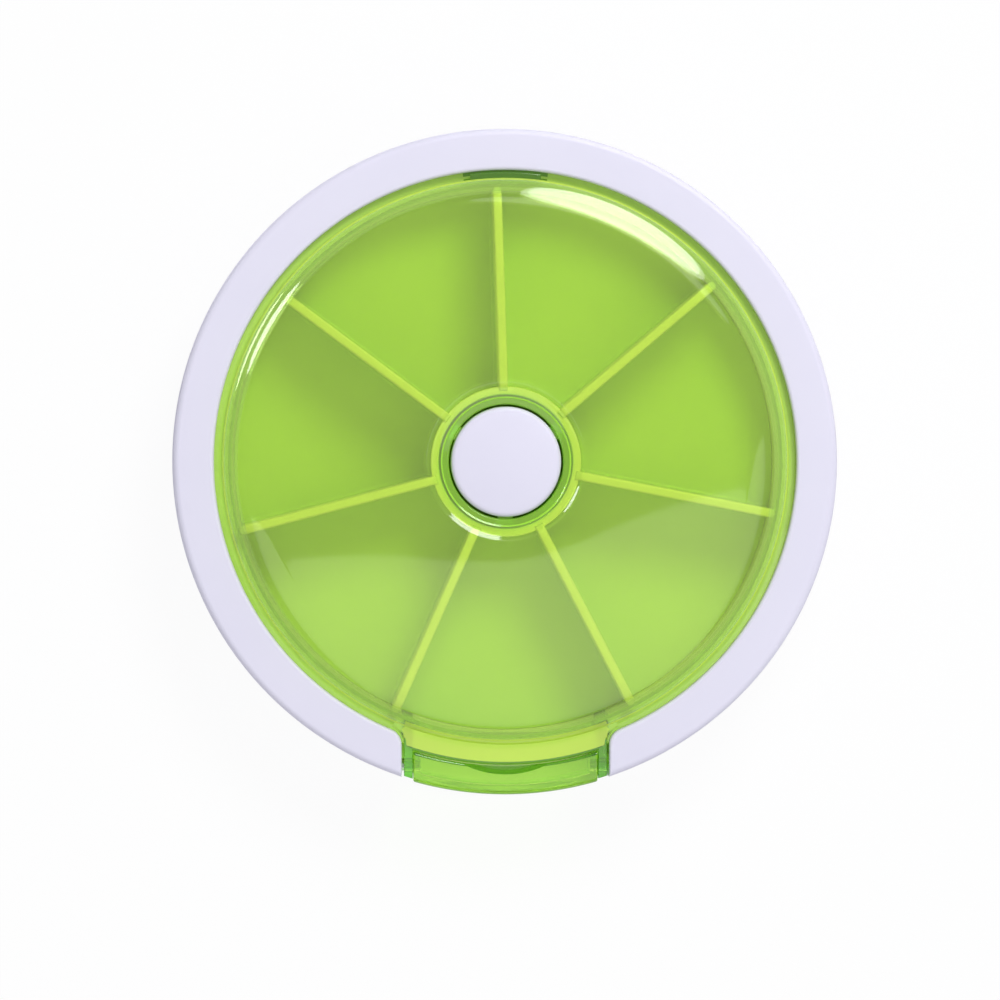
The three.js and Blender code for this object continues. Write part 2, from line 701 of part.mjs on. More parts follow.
function outletLid() {
  const outline = [
    [TONGUE_R + GAP, TONGUE_Z - TONGUE_WALL],
    [CASE_R - LID_WALL, TONGUE_Z - TONGUE_WALL],
    [CASE_R - LID_WALL, FLOOR_Z],
    [CASE_R, FLOOR_Z],
    ...arc(CASE_R - LID_EDGE, TONGUE_Z - LID_EDGE, LID_EDGE, 0, 90, 4),
    [TONGUE_R + GAP, TONGUE_Z],
  ];
  const doorway = [-OUTSIDE, -DOORWAY_R];
  const shell = turned(outline, LARGE).intersect(
    block([-LID_HALF, LID_HALF], doorway, [0, RIM_TOP_Z]),
  );
  const ear = (side) => spanX(side, LID_HALF - 1, LID_HALF);
  const webs = bothSides((side) => block(ear(side), WEB_Y, [PIVOT_Z, TONGUE_Z - 0.6]));
  const knuckles = bothSides((side) => pivotRod(KNUCKLE_R, ...ear(side)));
  // below the pivot the wall is turned down to the arc that it swings on
  const swingRoom = pivotRod(SWING_R, -PIN_TO_X, PIN_TO_X, 32);
  const trim = block([-PIN_TO_X, PIN_TO_X], doorway, [0, PIVOT_Z]).subtract(swingRoom);
  const bores = bothSides((side) => pivotRod(PIN_BORE_R, ...spanX(side, PIN_FROM_X - LAP, LID_HALF + LAP)));
  const edgeY = -Math.sqrt((TONGUE_R + GAP) ** 2 - NOTCH_HALF ** 2);
  const deepY = -(TONGUE_R + GAP + NOTCH_DEPTH);
  const sag = edgeY - deepY;
  const notchR = (NOTCH_HALF ** 2 + sag ** 2) / (2 * sag);
  const notch = rod(notchR, [0, deepY + notchR], TONGUE_Z - 2 * PAST, TONGUE_Z + PAST, 48);
  const nubs = bothSides((side) => {
    const geometry = new THREE.SphereGeometry(NUB_R, 10, 6);
    geometry.translate(side * (LID_HALF - SINK), NUB_Y, TONGUE_Z - 0.6);
    return toSolid(geometry);
  });
  return joined(cut(joined(shell, ...webs, ...knuckles), trim, ...bores, notch), ...nubs);
}

function foot() {
  const edge = [[FOOT_R - FOOT_EDGE, 0], [FOOT_R, FOOT_EDGE]];
  return turned([[0, 0], ...edge, [FOOT_R, FOOT_TOP_Z], [0, FOOT_TOP_Z]], 24);
}

const thrustWasher = () => ring(STEM_RIB_R + LAP, NUT_R - SINK, NUT_TOP_Z, SPRING_SEAT_Z, MEDIUM);
const bearingWasher = () => ring(WASHER_INNER_R, WASHER_LEDGE_R - GAP, WASHER_Z, TRAY_Z, MEDIUM);

const organizer = new THREE.Group();

function addPiece(name, solid, finish, [x, y] = [0, 0]) {
  const mesh = new THREE.Mesh(toGeometry(solid), finish());
  mesh.name = name;
  mesh.position.set(x, y, 0);
  organizer.add(mesh);
}

addPiece("base_shell", baseShell(), whitePlastic);
addPiece("rim_ring", rimRing(), whitePlastic);
addPiece("cover", cover(), clearGreen);
addPiece("pill_tray", pillTray(), limePlastic);
addPiece("push_button", pushButton(), whitePlastic);
addPiece("drive_spindle", driveSpindle(), softWhite);
addPiece("drive_nut", driveNut(), softWhite);
addPiece("pawl_ring", pawlRing(), softWhite);
addPiece("thrust_washer", thrustWasher(), steel);
addPiece("button_spring", buttonSpring(), steel);
addPiece("bearing_washer", bearingWasher(), softWhite);
addPiece("click_spring", clickSpring(), steel);
addPiece("click_spring_screw", clickScrew(), steel, [DETENT_R, CLICK_SCREW_Y]);
addPiece("outlet_lid", outletLid(), clearGreen);
addPiece("hinge_pin_left", pivotRod(PIN_R, -PIN_TO_X, -PIN_FROM_X, 16), steel);
addPiece("hinge_pin_right", pivotRod(PIN_R, PIN_FROM_X, PIN_TO_X, 16), steel);
CORNER_ANGLES.forEach((angle, i) => {
  addPiece(`case_screw_${i + 1}`, caseScrew(), steel, polar(SCREW_CIRCLE_R, angle));
  addPiece(`foot_${i + 1}`, foot(), rubber, polar(FOOT_CIRCLE_R, angle));
});

export default organizer;
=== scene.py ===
import math

import bmesh
import bpy
from mathutils import Matrix, Vector


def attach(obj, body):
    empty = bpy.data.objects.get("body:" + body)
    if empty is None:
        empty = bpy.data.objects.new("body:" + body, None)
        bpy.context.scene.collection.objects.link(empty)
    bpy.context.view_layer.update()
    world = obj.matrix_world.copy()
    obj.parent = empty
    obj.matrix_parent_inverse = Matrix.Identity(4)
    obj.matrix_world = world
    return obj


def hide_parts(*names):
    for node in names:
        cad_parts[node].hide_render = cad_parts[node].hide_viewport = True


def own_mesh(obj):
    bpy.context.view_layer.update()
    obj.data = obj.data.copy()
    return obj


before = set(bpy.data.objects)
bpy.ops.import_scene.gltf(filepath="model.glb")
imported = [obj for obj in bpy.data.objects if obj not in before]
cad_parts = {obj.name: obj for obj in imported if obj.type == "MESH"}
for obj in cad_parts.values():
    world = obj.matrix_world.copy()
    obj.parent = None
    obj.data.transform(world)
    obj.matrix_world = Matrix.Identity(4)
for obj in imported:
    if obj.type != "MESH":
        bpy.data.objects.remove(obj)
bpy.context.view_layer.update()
print("stage: packed frame loaded")

mm = 0.001  # pieces are drawn in millimetres and scaled once at the end
gap = 0.3     # clearance between parts that fit into each other
touch = 0.05  # kept between a clear face and what it rests on, so both render cleanly


# Small helpers for points, meshes and solids

def spread(start, end, steps):
    return [start + (end - start) * i / steps for i in range(steps + 1)]


def polar(radius, degrees):
    a = math.radians(degrees)
    return radius * math.cos(a), radius * math.sin(a)


def arc(cx, cy, radius, start, end, steps):
    points = [polar(radius, turn) for turn in spread(start, end, steps)]
    return [(cx + x, cy + y) for x, y in points]


def fillet(corner, before, after, radius, steps=5):
    # points that round one corner of an outline
    p, a, b = Vector(corner), Vector(before), Vector(after)
    u, v = (a - p).normalized(), (b - p).normalized()
    half = u.angle(v) / 2
    reach = radius / math.tan(half)
    centre = p + (u + v).normalized() * (radius / math.sin(half))
    first, last = p + u * reach - centre, p + v * reach - centre
    turn = first.angle_signed(last)
    points = []
    for i in range(steps + 1):
        spin = Matrix.Rotation(-turn * i / steps, 2)
        points.append(tuple(centre + spin @ first))
    return points


def smoothRise(start, end, steps):
    # an S-curve between two points
    (x, y), (toX, toY) = start, end
    return [(x + (toX - x) * t, y + (toY - y) * t * t * (3 - 2 * t)) for t in spread(0, 1, steps)]


def bothSides(near, far):
    # the same stretch of X on the right and on the left
    return (near, far), (-far, -near)


def toObject(name, bm):
    bmesh.ops.remove_doubles(bm, verts=bm.verts, dist=0.0005)
    bmesh.ops.recalc_face_normals(bm, faces=bm.faces)
    mesh = bpy.data.meshes.new(name)
    bm.to_mesh(mesh)
    bm.free()
    made = bpy.data.objects.new(name, mesh)
    bpy.context.scene.collection.objects.link(made)
    return made


def skinRows(bm, rows, closed):
    # quads or triangles between neighbouring rows of vertices
    pairs = list(zip(rows, rows[1:] + rows[:1])) if closed else list(zip(rows, rows[1:]))
    for a, b in pairs:
        count = max(len(a), len(b))
        if count == 1:
            continue
        for i in range(count):
            j = (i + 1) % count
            if len(a) == 1:
                bm.faces.new((a[0], b[i], b[j]))
            elif len(b) == 1:
                bm.faces.new((a[i], b[0], a[j]))
            else:
                bm.faces.new((a[i], b[i], b[j], a[j]))


def turned(name, outline, segments=192):
    # a full turn of a closed (radius, height) outline
    bm = bmesh.new()
    rows = []
    for r, z in outline:
        if r < 1e-6:
            rows.append([bm.verts.new((0, 0, z))])
        else:
            rows.append([bm.verts.new((*polar(r, 360 * i / segments), z)) for i in range(segments)])
    skinRows(bm, rows, True)
    return toObject(name, bm)


def swept(name, outline, anglesAt, endRound=0):
    # a part turn of a closed (radius, height) outline: anglesAt(radius) lists its angles
    bm = bmesh.new()
    columns = [[bm.verts.new((*polar(r, a), z)) for a in anglesAt(r)] for r, z in outline]
    count = len(columns[0])
    for a, b in zip(columns, columns[1:] + columns[:1]):
        for i in range(count - 1):
            bm.faces.new((a[i], b[i], b[i + 1], a[i + 1]))
    caps = [bm.faces.new([c[0] for c in columns]), bm.faces.new([c[-1] for c in reversed(columns)])]
    if endRound:
        bmesh.ops.recalc_face_normals(bm, faces=bm.faces)
        rim = [e for cap in caps for e in cap.edges]
        bmesh.ops.bevel(bm, geom=rim, offset=endRound, segments=3, profile=0.5, affect="EDGES",
                        clamp_overlap=True)
    return toObject(name, bm)


def slab(name, sideA, sideB, low, high, radii=(0, 0, 0), foot=(0, 0, 0), flare=0, topAt=None):
    # a plate between two plan lines of equal count; radii round the top edge along A, B and
    # the ends, foot the lower edge, and flare adds a concave fillet where it stands
    outline = list(sideA) + list(reversed(sideB))
    n, half = len(outline), len(sideA)
    following = outline[1:] + outline[:1]
    area = sum(a[0] * b[1] - b[0] * a[1] for a, b in zip(outline, following))
    inward = 1 if area > 0 else -1
    normals = []
    for a, b in zip(outline, following):
        d = (Vector(b) - Vector(a)).normalized()
        normals.append(Vector((-d.y, d.x)) * inward)

    def edgeValue(i, values):
        if i in (half - 1, n - 1):
            return values[2]
        return values[0] if i < half - 1 else values[1]

    def row(values, share, lift, base):
        made = []
        for i in range(n):
            before, after = normals[i - 1], normals[i]
            a, b = edgeValue((i - 1) % n, values), edgeValue(i, values)
            cross = before.x * after.y - before.y * after.x
            if abs(cross) < 0.12:
                move = (before + after).normalized() * (a + b) / 2 * share
            else:
                inA, inB = a * share, b * share
                x = (inA * after.y - inB * before.y) / cross
                y = (inB * before.x - inA * after.x) / cross
                move = Vector((x, y))
            q = Vector(outline[i]) + move
            made.append((q.x, q.y, base(q.x, q.y) + (a + b) / 2 * lift))
        return made

    def quarter(steps):
        return [math.radians(t) for t in spread(0, 90, steps)]

    roof = topAt or (lambda x, y: high)
    ground = lambda x, y: low
    if flare:
        rows = [row((flare,) * 3, math.sin(t) - 1, 1 - math.cos(t), ground) for t in quarter(5)]
    elif max(foot):
        rows = [row(foot, 1 - math.sin(t), 1 - math.cos(t), ground) for t in quarter(4)]
    else:
        rows = [row((0, 0, 0), 0, 0, ground)]
    if max(radii):
        rows += [row(radii, 1 - math.cos(t), math.sin(t) - 1, roof) for t in quarter(6)]
    else:
        rows.append(row((0, 0, 0), 0, 0, roof))
    bm = bmesh.new()
    made = [[bm.verts.new(p) for p in points] for points in rows]
    skinRows(bm, made, False)
    for ends in (made[0], made[-1]):
        for i in range(half - 1):
            j = n - 1 - i
            bm.faces.new((ends[i], ends[i + 1], ends[j - 1], ends[j]))
    return toObject(name, bm)


def block(name, xs, ys, zs, roundOff=0):
    bm = bmesh.new()
    bmesh.ops.create_cube(bm, size=1)
    for v in bm.verts:
        v.co = [(a + b) / 2 + c * (b - a) for c, (a, b) in zip(v.co, (xs, ys, zs))]
    if roundOff:
        bmesh.ops.bevel(bm, geom=bm.edges[:], offset=roundOff, segments=3, profile=0.5, affect="EDGES")
    return toObject(name, bm)


def rod(name, radius, place, low, high, segments=48, roundOff=0):
    # an upright rod, with its edges rounded if asked
    outline = [(0, low), (radius, low), (radius, high), (0, high)]
    if roundOff:
        outline = [(0, low), *fillet((radius, low), (0, low), (radius, high), roundOff, 4),
                   *fillet((radius, high), (radius, low), (0, high), roundOff, 4), (0, high)]
    made = turned(name, outline, segments)
    made.data.transform(Matrix.Translation((place[0], place[1], 0)))
    return made


def hingeRod(name, radius, xs, segments=48, roundOff=0):
    # a rod along the door's hinge line
    made = rod(name, radius, (0, 0), *xs, segments, roundOff)
    lie = Matrix.Rotation(math.radians(90), 4, "Y")
    made.data.transform(Matrix.Translation((0, outlet["pivotY"], outlet["pivotZ"])) @ lie)
    return made


def turnTo(made, degrees):
    made.data.transform(Matrix.Rotation(math.radians(degrees), 4, "Z"))
    return made


def spokeBlock(name, degrees, radii, width, zs, roundOff=0):
    return turnTo(block(name, radii, (-width / 2, width / 2), zs, roundOff), degrees)


def combine(operation, target, *others):
    # boolean with closed solids; the others are used up
    for other in others:
        step = target.modifiers.new("combine", "BOOLEAN")
        step.operation, step.solver, step.object = operation, "MANIFOLD", other
    graph = bpy.context.evaluated_depsgraph_get()
    graph.update()
    result = bpy.data.meshes.new_from_object(target.evaluated_get(graph))
    target.modifiers.clear()
    target.data = result
    for other in others:
        bpy.data.objects.remove(other)
    return target


def joined(target, *others):
    return combine("UNION", target, *others)


def cutAway(target, *others):
    return combine("DIFFERENCE", target, *others)


def placePiece(made, body, finish, nodes, sharp=32):
    # to metres, smooth shading with creases kept, then the finish and the body that it rides on
    made.data.transform(Matrix.Scale(mm, 4))
    made.data.shade_smooth()
    made.data.set_sharp_from_angle(angle=math.radians(sharp))
    even = made.modifiers.new("even shading", "WEIGHTED_NORMAL")
    even.keep_sharp = True
    made.data.materials.clear()
    made.data.materials.append(finish)
    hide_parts(*nodes)
    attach(made, body)
    print("piece:", made.name, len(made.data.polygons), "faces")
    return made


def paintFaces(made, finish, radii=(-1, 99), heights=(-1, 99), across=(-1, 99), along=(-99, 99)):
    # a second finish on the faces whose middle lies in all of these ranges, in millimetres:
    # distance from the tray's axis, height, distance from the middle plane, place along Y
    made.data.materials.append(finish)
    index = len(made.data.materials) - 1
    ranges = (radii, heights, across, along)
    for face in made.data.polygons:
        x, y, z = face.center / mm
        values = (math.hypot(x, y), z, abs(x), y)
        if all(low < value < high for value, (low, high) in zip(values, ranges)):
            face.material_index = index


# Finishes

def colour(hexText):
    # sRGB hex to the linear values that a socket takes
    values = [int(hexText[i:i + 2], 16) / 255 for i in (1, 3, 5)]
    linear = [v / 12.92 if v <= 0.04045 else ((v + 0.055) / 1.055) ** 2.4 for v in values]
    return (*linear, 1.0)


def addNode(tree, kind, settings=None, links=None):
    # settings are properties or input values, links are input name to output socket
    node = tree.nodes.new(kind)
    for key, value in (settings or {}).items():
        if isinstance(key, str) and hasattr(node, key):
            setattr(node, key, value)
        else:
            node.inputs[key].default_value = value
    for key, source in (links or {}).items():
        tree.links.new(source, node.inputs[key])
    return node


def newMaterial(name):
    made = bpy.data.materials.new(name)
    made.use_nodes = True
    made.node_tree.nodes.clear()
    return made, made.node_tree


whiteFinish = {
    "colour": "#E9E6F6",
    "shade": "#E3E0F2",
    "roughness": 0.62,
    "grainMm": 0.35,     # spark texture of the mould
    "mottleMm": 14.0,    # slow change of gloss over the ring
}

# Injection-moulded ABS: opaque, cool white, with soft broad highlights from a satin mould
def mouldedAbs():
    f = whiteFinish
    made, tree = newMaterial("injection-moulded ABS, satin white")
    place = addNode(tree, "ShaderNodeTexCoord").outputs["Object"]
    grain = addNode(tree, "ShaderNodeTexNoise", {"Scale": 1 / (f["grainMm"] * mm), "Detail": 2.0},
                    {"Vector": place})
    mottle = addNode(tree, "ShaderNodeTexNoise", {"Scale": 1 / (f["mottleMm"] * mm), "Detail": 3.0},
                     {"Vector": place})
    tint = addNode(tree, "ShaderNodeMix",
                   {"data_type": "RGBA", 6: colour(f["shade"]), 7: colour(f["colour"])},
                   {0: mottle.outputs["Fac"]})
    gloss = addNode(tree, "ShaderNodeMapRange",
                    {"To Min": f["roughness"] - 0.04, "To Max": f["roughness"] + 0.05},
                    {"Value": mottle.outputs["Fac"]})
    bump = addNode(tree, "ShaderNodeBump", {"Strength": 0.12, "Distance": 0.02 * mm},
                   {"Height": grain.outputs["Fac"]})
    shader = addNode(tree, "ShaderNodeBsdfPrincipled", {"IOR": 1.53}, {
        "Base Color": tint.outputs[2],
        "Roughness": gloss.outputs["Result"],
        "Normal": bump.outputs["Normal"],
    })
    addNode(tree, "ShaderNodeOutputMaterial", None, {"Surface": shader.outputs["BSDF"]})
    return made


clearFinish = {
    "roughness": 0.03,
    "ior": 1.59,
    "waveMm": 9.0,       # slow flow marks of the moulding
    "waveHeightMm": 0.012,
}

# name, tint and clarity: the rest of the light scatters in the plastic. Cover and door are the plastic
# itself; the others go onto chosen faces: notch and cheek are darker tints for painted shade, the less clear
# ones are painted light
clearKinds = {
    "notch": ("injection-moulded styrene, nail notch, deep green", "#6C9E4C", 0.8),
    "cheek": ("injection-moulded styrene, seen edge-on, green", "#A4EF52", 0.8),
    "cover": ("injection-moulded clear styrene, green", "#E2F894", 0.9),
    "door": ("injection-moulded clear styrene, deep green", "#C2F156", 0.8),
    "tongue": ("injection-moulded styrene, textured underneath, green", "#D9F45A", 0.36),
    "shoulder": ("injection-moulded styrene, steep shoulder, green", "#D2F088", 0.72),
    "flange": ("injection-moulded styrene, thick edge, green", "#D8F58C", 0.55),
    "collar": ("injection-moulded styrene, textured bore, green", "#B6F44E", 0.55),
}

# Injection-moulded clear polystyrene: glassy gloss, green tint, slight waves in its reflections
def mouldedStyrene(name, tint, clarity):
    f = clearFinish
    made, tree = newMaterial(name)
    place = addNode(tree, "ShaderNodeTexCoord").outputs["Object"]
    wave = addNode(tree, "ShaderNodeTexNoise", {"Scale": 1 / (f["waveMm"] * mm), "Detail": 1.0},
                   {"Vector": place})
    bump = addNode(tree, "ShaderNodeBump", {"Strength": 0.35, "Distance": f["waveHeightMm"] * mm},
                   {"Height": wave.outputs["Fac"]})
    glass = addNode(tree, "ShaderNodeBsdfPrincipled", {
        "Base Color": colour(tint),
        "Roughness": f["roughness"],
        "IOR": f["ior"],
        "Transmission Weight": clarity,
    }, {"Normal": bump.outputs["Normal"]})
    # lamps and bounced light pass straight through, so the tray inside is lit
    film = tuple(math.sqrt(v) for v in colour(tint)[:3]) + (1.0,)
    through = addNode(tree, "ShaderNodeBsdfTransparent", {"Color": film})
    path = addNode(tree, "ShaderNodeLightPath")
    lampMix = addNode(tree, "ShaderNodeMixShader", None, {
        0: path.outputs["Is Shadow Ray"], 1: glass.outputs["BSDF"], 2: through.outputs["BSDF"]})
    bounceMix = addNode(tree, "ShaderNodeMixShader", None, {
        0: path.outputs["Is Diffuse Ray"], 1: lampMix.outputs["Shader"], 2: through.outputs["BSDF"]})
    addNode(tree, "ShaderNodeOutputMaterial", None, {"Surface": bounceMix.outputs["Shader"]})
    return made


limeFinish = {
    "rim": "#F6F3C2",       # painted light: tops of spokes and hub, paler and yellower for the light through their thin walls
    "floor": "#C9DE85",
    "shade": "#BED675",
    "floorZ": 5.6,
    "rimZ": 13.0,
    "roughness": 0.42,
    "grainMm": 0.4,
    "mottleMm": 10.0,
}

# Injection-moulded polypropylene: waxy satin, lime, a little uneven in tone; painted light makes the tops of
# spokes and hub paler
def mouldedPolypropylene():
    f = limeFinish
    made, tree = newMaterial("injection-moulded polypropylene, lime")
    place = addNode(tree, "ShaderNodeTexCoord").outputs["Object"]
    grain = addNode(tree, "ShaderNodeTexNoise", {"Scale": 1 / (f["grainMm"] * mm), "Detail": 2.0},
                    {"Vector": place})
    mottle = addNode(tree, "ShaderNodeTexNoise", {"Scale": 1 / (f["mottleMm"] * mm), "Detail": 3.0},
                     {"Vector": place})
    flat = addNode(tree, "ShaderNodeMix",
                   {"data_type": "RGBA", 6: colour(f["shade"]), 7: colour(f["floor"])},
                   {0: mottle.outputs["Fac"]})
    # painted light: with height, the colour turns from the floor tones to the paler rim colour, so spoke and
    # hub tops read lit
    split = addNode(tree, "ShaderNodeSeparateXYZ", None, {"Vector": place})
    litTopShare = addNode(tree, "ShaderNodeMapRange", {"From Min": f["floorZ"] * mm, "From Max": f["rimZ"] * mm},
                   {"Value": split.outputs["Z"]})
    tint = addNode(tree, "ShaderNodeMix", {"data_type": "RGBA", 7: colour(f["rim"])},
                   {0: litTopShare.outputs["Result"], 6: flat.outputs[2]})
    bump = addNode(tree, "ShaderNodeBump", {"Strength": 0.1, "Distance": 0.02 * mm},
                   {"Height": grain.outputs["Fac"]})
    shader = addNode(tree, "ShaderNodeBsdfPrincipled", {"IOR": 1.49, "Roughness": f["roughness"]},
                     {"Base Color": tint.outputs[2], "Normal": bump.outputs["Normal"]})
    addNode(tree, "ShaderNodeOutputMaterial", None, {"Surface": shader.outputs["BSDF"]})
    return made


# roughness runs between two values with the grain; relief is the bump's strength and depth in mm
innerFinish = {
    # Injection-moulded acetal: unpigmented, milky and slick
    "acetal": {"name": "injection-moulded acetal, natural", "tint": "#F3F1EA", "settings": {"IOR": 1.48},
               "roughness": (0.33, 0.43), "grainMm": 3.0, "detail": 2.0},
    # Nickel-plated steel: bright grey metal, its gloss finely uneven from drawing and turning
    "steel": {"name": "nickel-plated steel", "tint": "#C8C9CB", "settings": {"Metallic": 1.0},
              "roughness": (0.18, 0.32), "grainMm": 0.12, "detail": 2.0, "relief": (0.1, 0.01)},
    # Compression-moulded rubber: matte grey with a fine open grain
    "rubber": {"name": "compression-moulded rubber, grey", "tint": "#6B6D71", "settings": {"IOR": 1.52},
               "roughness": (0.72, 0.9), "grainMm": 0.5, "detail": 4.0, "relief": (0.35, 0.05)},
}


def grainedFinish(name, tint, settings, roughness, grainMm, detail, relief=None):
    made, tree = newMaterial(name)
    place = addNode(tree, "ShaderNodeTexCoord").outputs["Object"]
    grain = addNode(tree, "ShaderNodeTexNoise", {"Scale": 1 / (grainMm * mm), "Detail": detail},
                    {"Vector": place})
    gloss = addNode(tree, "ShaderNodeMapRange", {"To Min": roughness[0], "To Max": roughness[1]},
                    {"Value": grain.outputs["Fac"]})
    links = {"Roughness": gloss.outputs["Result"]}
    if relief:
        bump = addNode(tree, "ShaderNodeBump", {"Strength": relief[0], "Distance": relief[1] * mm},
                       {"Height": grain.outputs["Fac"]})
        links["Normal"] = bump.outputs["Normal"]
    shader = addNode(tree, "ShaderNodeBsdfPrincipled", {"Base Color": colour(tint), **settings}, links)
    addNode(tree, "ShaderNodeOutputMaterial", None, {"Surface": shader.outputs["BSDF"]})
    return made


whiteAbs = mouldedAbs()
clear = {key: mouldedStyrene(*kind) for key, kind in clearKinds.items()}
limePp = mouldedPolypropylene()
acetal, steel, rubber = [grainedFinish(**kind) for kind in innerFinish.values()]
print("stage: finishes made")

# Shared sizes of the case, in millimetres
case = {
    "radius": 45.0,
    "ringRadius": 44.8,
    "ringInner": 39.3,
    "undersideZ": 0.6,
    "floorZ": 2.2,
    "partingZ": 12.0,       # where the ring stands on the base
    "lap": 0.5,             # inner lip of the base that centres the ring
    "lapHeight": 1.0,
    "lipZ": 15.8,
    "ringTopZ": 17.5,
    "edgeRadius": 3.0,
    "wall": 1.6,
    "screwAngles": (45, 135, 225, 315),
    "screwCircle": 41.5,
    "screwBore": 0.9,
    "screwHead": 1.6,
    "screwSeatZ": 2.4,
    "footCircle": 31.0,
    "footRadius": 4.0,
    "footTopZ": 1.2,
}

outlet = {
    "half": 14.0,
    "cornerRadius": 2.3,
    "pivotY": -41.3,
    "pivotZ": 6.2,
    "pinRadius": 0.7,
    "pinBore": 0.95,
    "pinFromX": 11.5,
    "pinToX": 15.0,
    "tongueRadius": 41.0,
    "doorGap": 0.1,         # fine line between tongue and door
    "doorHalf": 12.45,
    "tongueZ": 16.9,
    "tongueWall": 1.3,
    "cheekInner": 12.52,
    "cheekRadius": 44.6,
}

# where the ring's inner edge turns into the outlet
cornerX = outlet["half"] + outlet["cornerRadius"]
cornerY = -math.sqrt((case["ringInner"] + outlet["cornerRadius"]) ** 2 - cornerX ** 2)
cornerTurn = 90 + math.degrees(math.atan2(cornerX, -cornerY))
cornerFrom = math.degrees(math.atan2(cornerY, cornerX))
cornerSteps = 14
# the rest of the ring, from the right corner round the back to the left one
ringTurn = spread(cornerFrom, 180 - cornerFrom, 180)


def cutAngle(radius):
    # where a circle meets the right side of the outlet
    return math.degrees(math.asin(outlet["half"] / radius)) - 90


def ringAngles(radius):
    # from the right end of the ring round the back to its left end
    right = spread(cutAngle(radius), cornerFrom, cornerSteps)[:-1]
    return right + ringTurn + [180 - a for a in reversed(right)]


def cornerPlaces(circle):
    return [polar(circle, a) for a in case["screwAngles"]]


# White ring round the top
ringShape = {
    "outerEdge": 0.85,
    "innerEdge": 0.5,
    "endEdge": 0.3,
    "endStep": 1.2,         # degrees
    "footEdge": 0.15,
    "bossRadius": 1.6,
    "bossTopZ": 16.2,
    "boreTopZ": 15.4,
}


def makeRing():
    s = ringShape
    right = arc(cornerX, cornerY, outlet["cornerRadius"], 180, cornerTurn, cornerSteps)[:-1]
    inner = right + [polar(case["ringInner"], a) for a in ringTurn]
    inner += [(-x, y) for x, y in reversed(right)]
    # the first step is long, so that the rounded outer edge stays behind the cut end
    cutEnd = cutAngle(case["ringRadius"])
    near = [cutEnd] + spread(cutEnd + s["endStep"], cornerFrom, cornerSteps - 1)[:-1]
    around = near + ringTurn + [180 - a for a in reversed(near)]
    outer = [polar(case["ringRadius"], a) for a in around]
    edges = (s["innerEdge"], s["outerEdge"], s["endEdge"])
    lip = slab("rim_ring_visual", inner, outer, case["lipZ"], case["ringTopZ"], edges)

    low, top = case["partingZ"], case["lipZ"] + 0.1
    inside = case["radius"] - case["wall"]
    foot = inside + case["lap"] + gap
    stepZ = low + case["lapHeight"] + gap
    outside = case["ringRadius"]
    outline = [(foot, low), *fillet((outside, low), (foot, low), (outside, top), s["footEdge"], 3),
               (outside, top), (inside, top), (inside, stepZ), (foot, stepZ)]
    wall = swept("ring wall", outline, ringAngles)
    places = cornerPlaces(case["screwCircle"])
    bosses = [rod("boss", s["bossRadius"], place, low, s["bossTopZ"]) for place in places]
    bores = [rod("bore", case["screwBore"], place, low - 1, s["boreTopZ"]) for place in places]
    return cutAway(joined(lip, wall, *bosses), *bores)


placePiece(makeRing(), "case", whiteAbs, ["rim_ring"])

# Clear cover: dome, well, collar, flange, tongue, cheeks and tab
coverShape = {
    "flangeRadius": 40.6,
    "flangeZ": 14.6,
    "flangeEdge": 0.2,
    "rootFillet": 0.6,      # between flange and dome
    "collarInner": 7.7,
    "collarOuter": 8.8,
    "collarZ": 10.2,
    "collarEdge": 0.3,
    "wellZ": 20.05,
    "rimStep": 0.16,        # the collar's top lies a little lower and catches a thin highlight
    "wellFrom": 9.8,
    "wellTo": 10.8,
    "crownZ": 20.5,
    "crownDrop": 0.5,
    "shoulderRadius": 32.6,
    "shoulderBend": 8.3,    # radius of the slow bend, then of the tighter one
    "edgeBend": 4.0,
    "edgeSlope": 33,        # degrees at which the tighter bend takes over
    "domeRadius": 38.2,
    "wall": 1.3,
    "tongueEdge": 0.45,
    "tabDegrees": 14.2,
    "tabTopZ": 17.3,
    "keyAngles": (30, 150, 270),
    "keySlotWidth": 2.6,
    "keySlotTopZ": 15.0,
    "bossNotchZ": 13.6,
}

# White bowl under the ring
bowlShape = {
    "ledgeOuter": 13.3,     # the tray's washer lies on the ledge, inside a low kerb
    "kerbInner": 12.7,
    "kerbZ": 3.8,
    "ledgeInner": 9.4,
    "ledgeZ": 3.6,
    "postOuter": 6.2,       # the nut stands on the post's shoulder
    "postShoulder": 4.6,
    "postShoulderZ": 5.4,
    "postTopZ": 6.6,
    "postBore": 3.4,
    "pillar": 2.2,
    "grooveRadius": 36.4,   # a fine moulded ring on the underside
    "grooveHalf": 1.2,
    "grooveDepth": 0.25,
    "roomInner": 37.0,      # wall round the tray
    "roomOuter": 38.4,
    "seatOuter": 39.6,      # its widened top carries the cover's flange
    "seatZ": 13.2,
    "topEdge": 0.15,
    "lapEdge": 0.1,
    "pivotBossX": 16.6,
    "pivotBossY": (-43.6, -39.9),
    "pivotBossTopZ": 8.4,
    "rampRadius": 43.0,     # hollow ramp under the door, just clear of its swing
    "rampTopZ": 5.2,
    "swingRadius": 4.0,
    "clickScrewPlace": (22, -13),
    "clickScrewBore": 0.95,
}


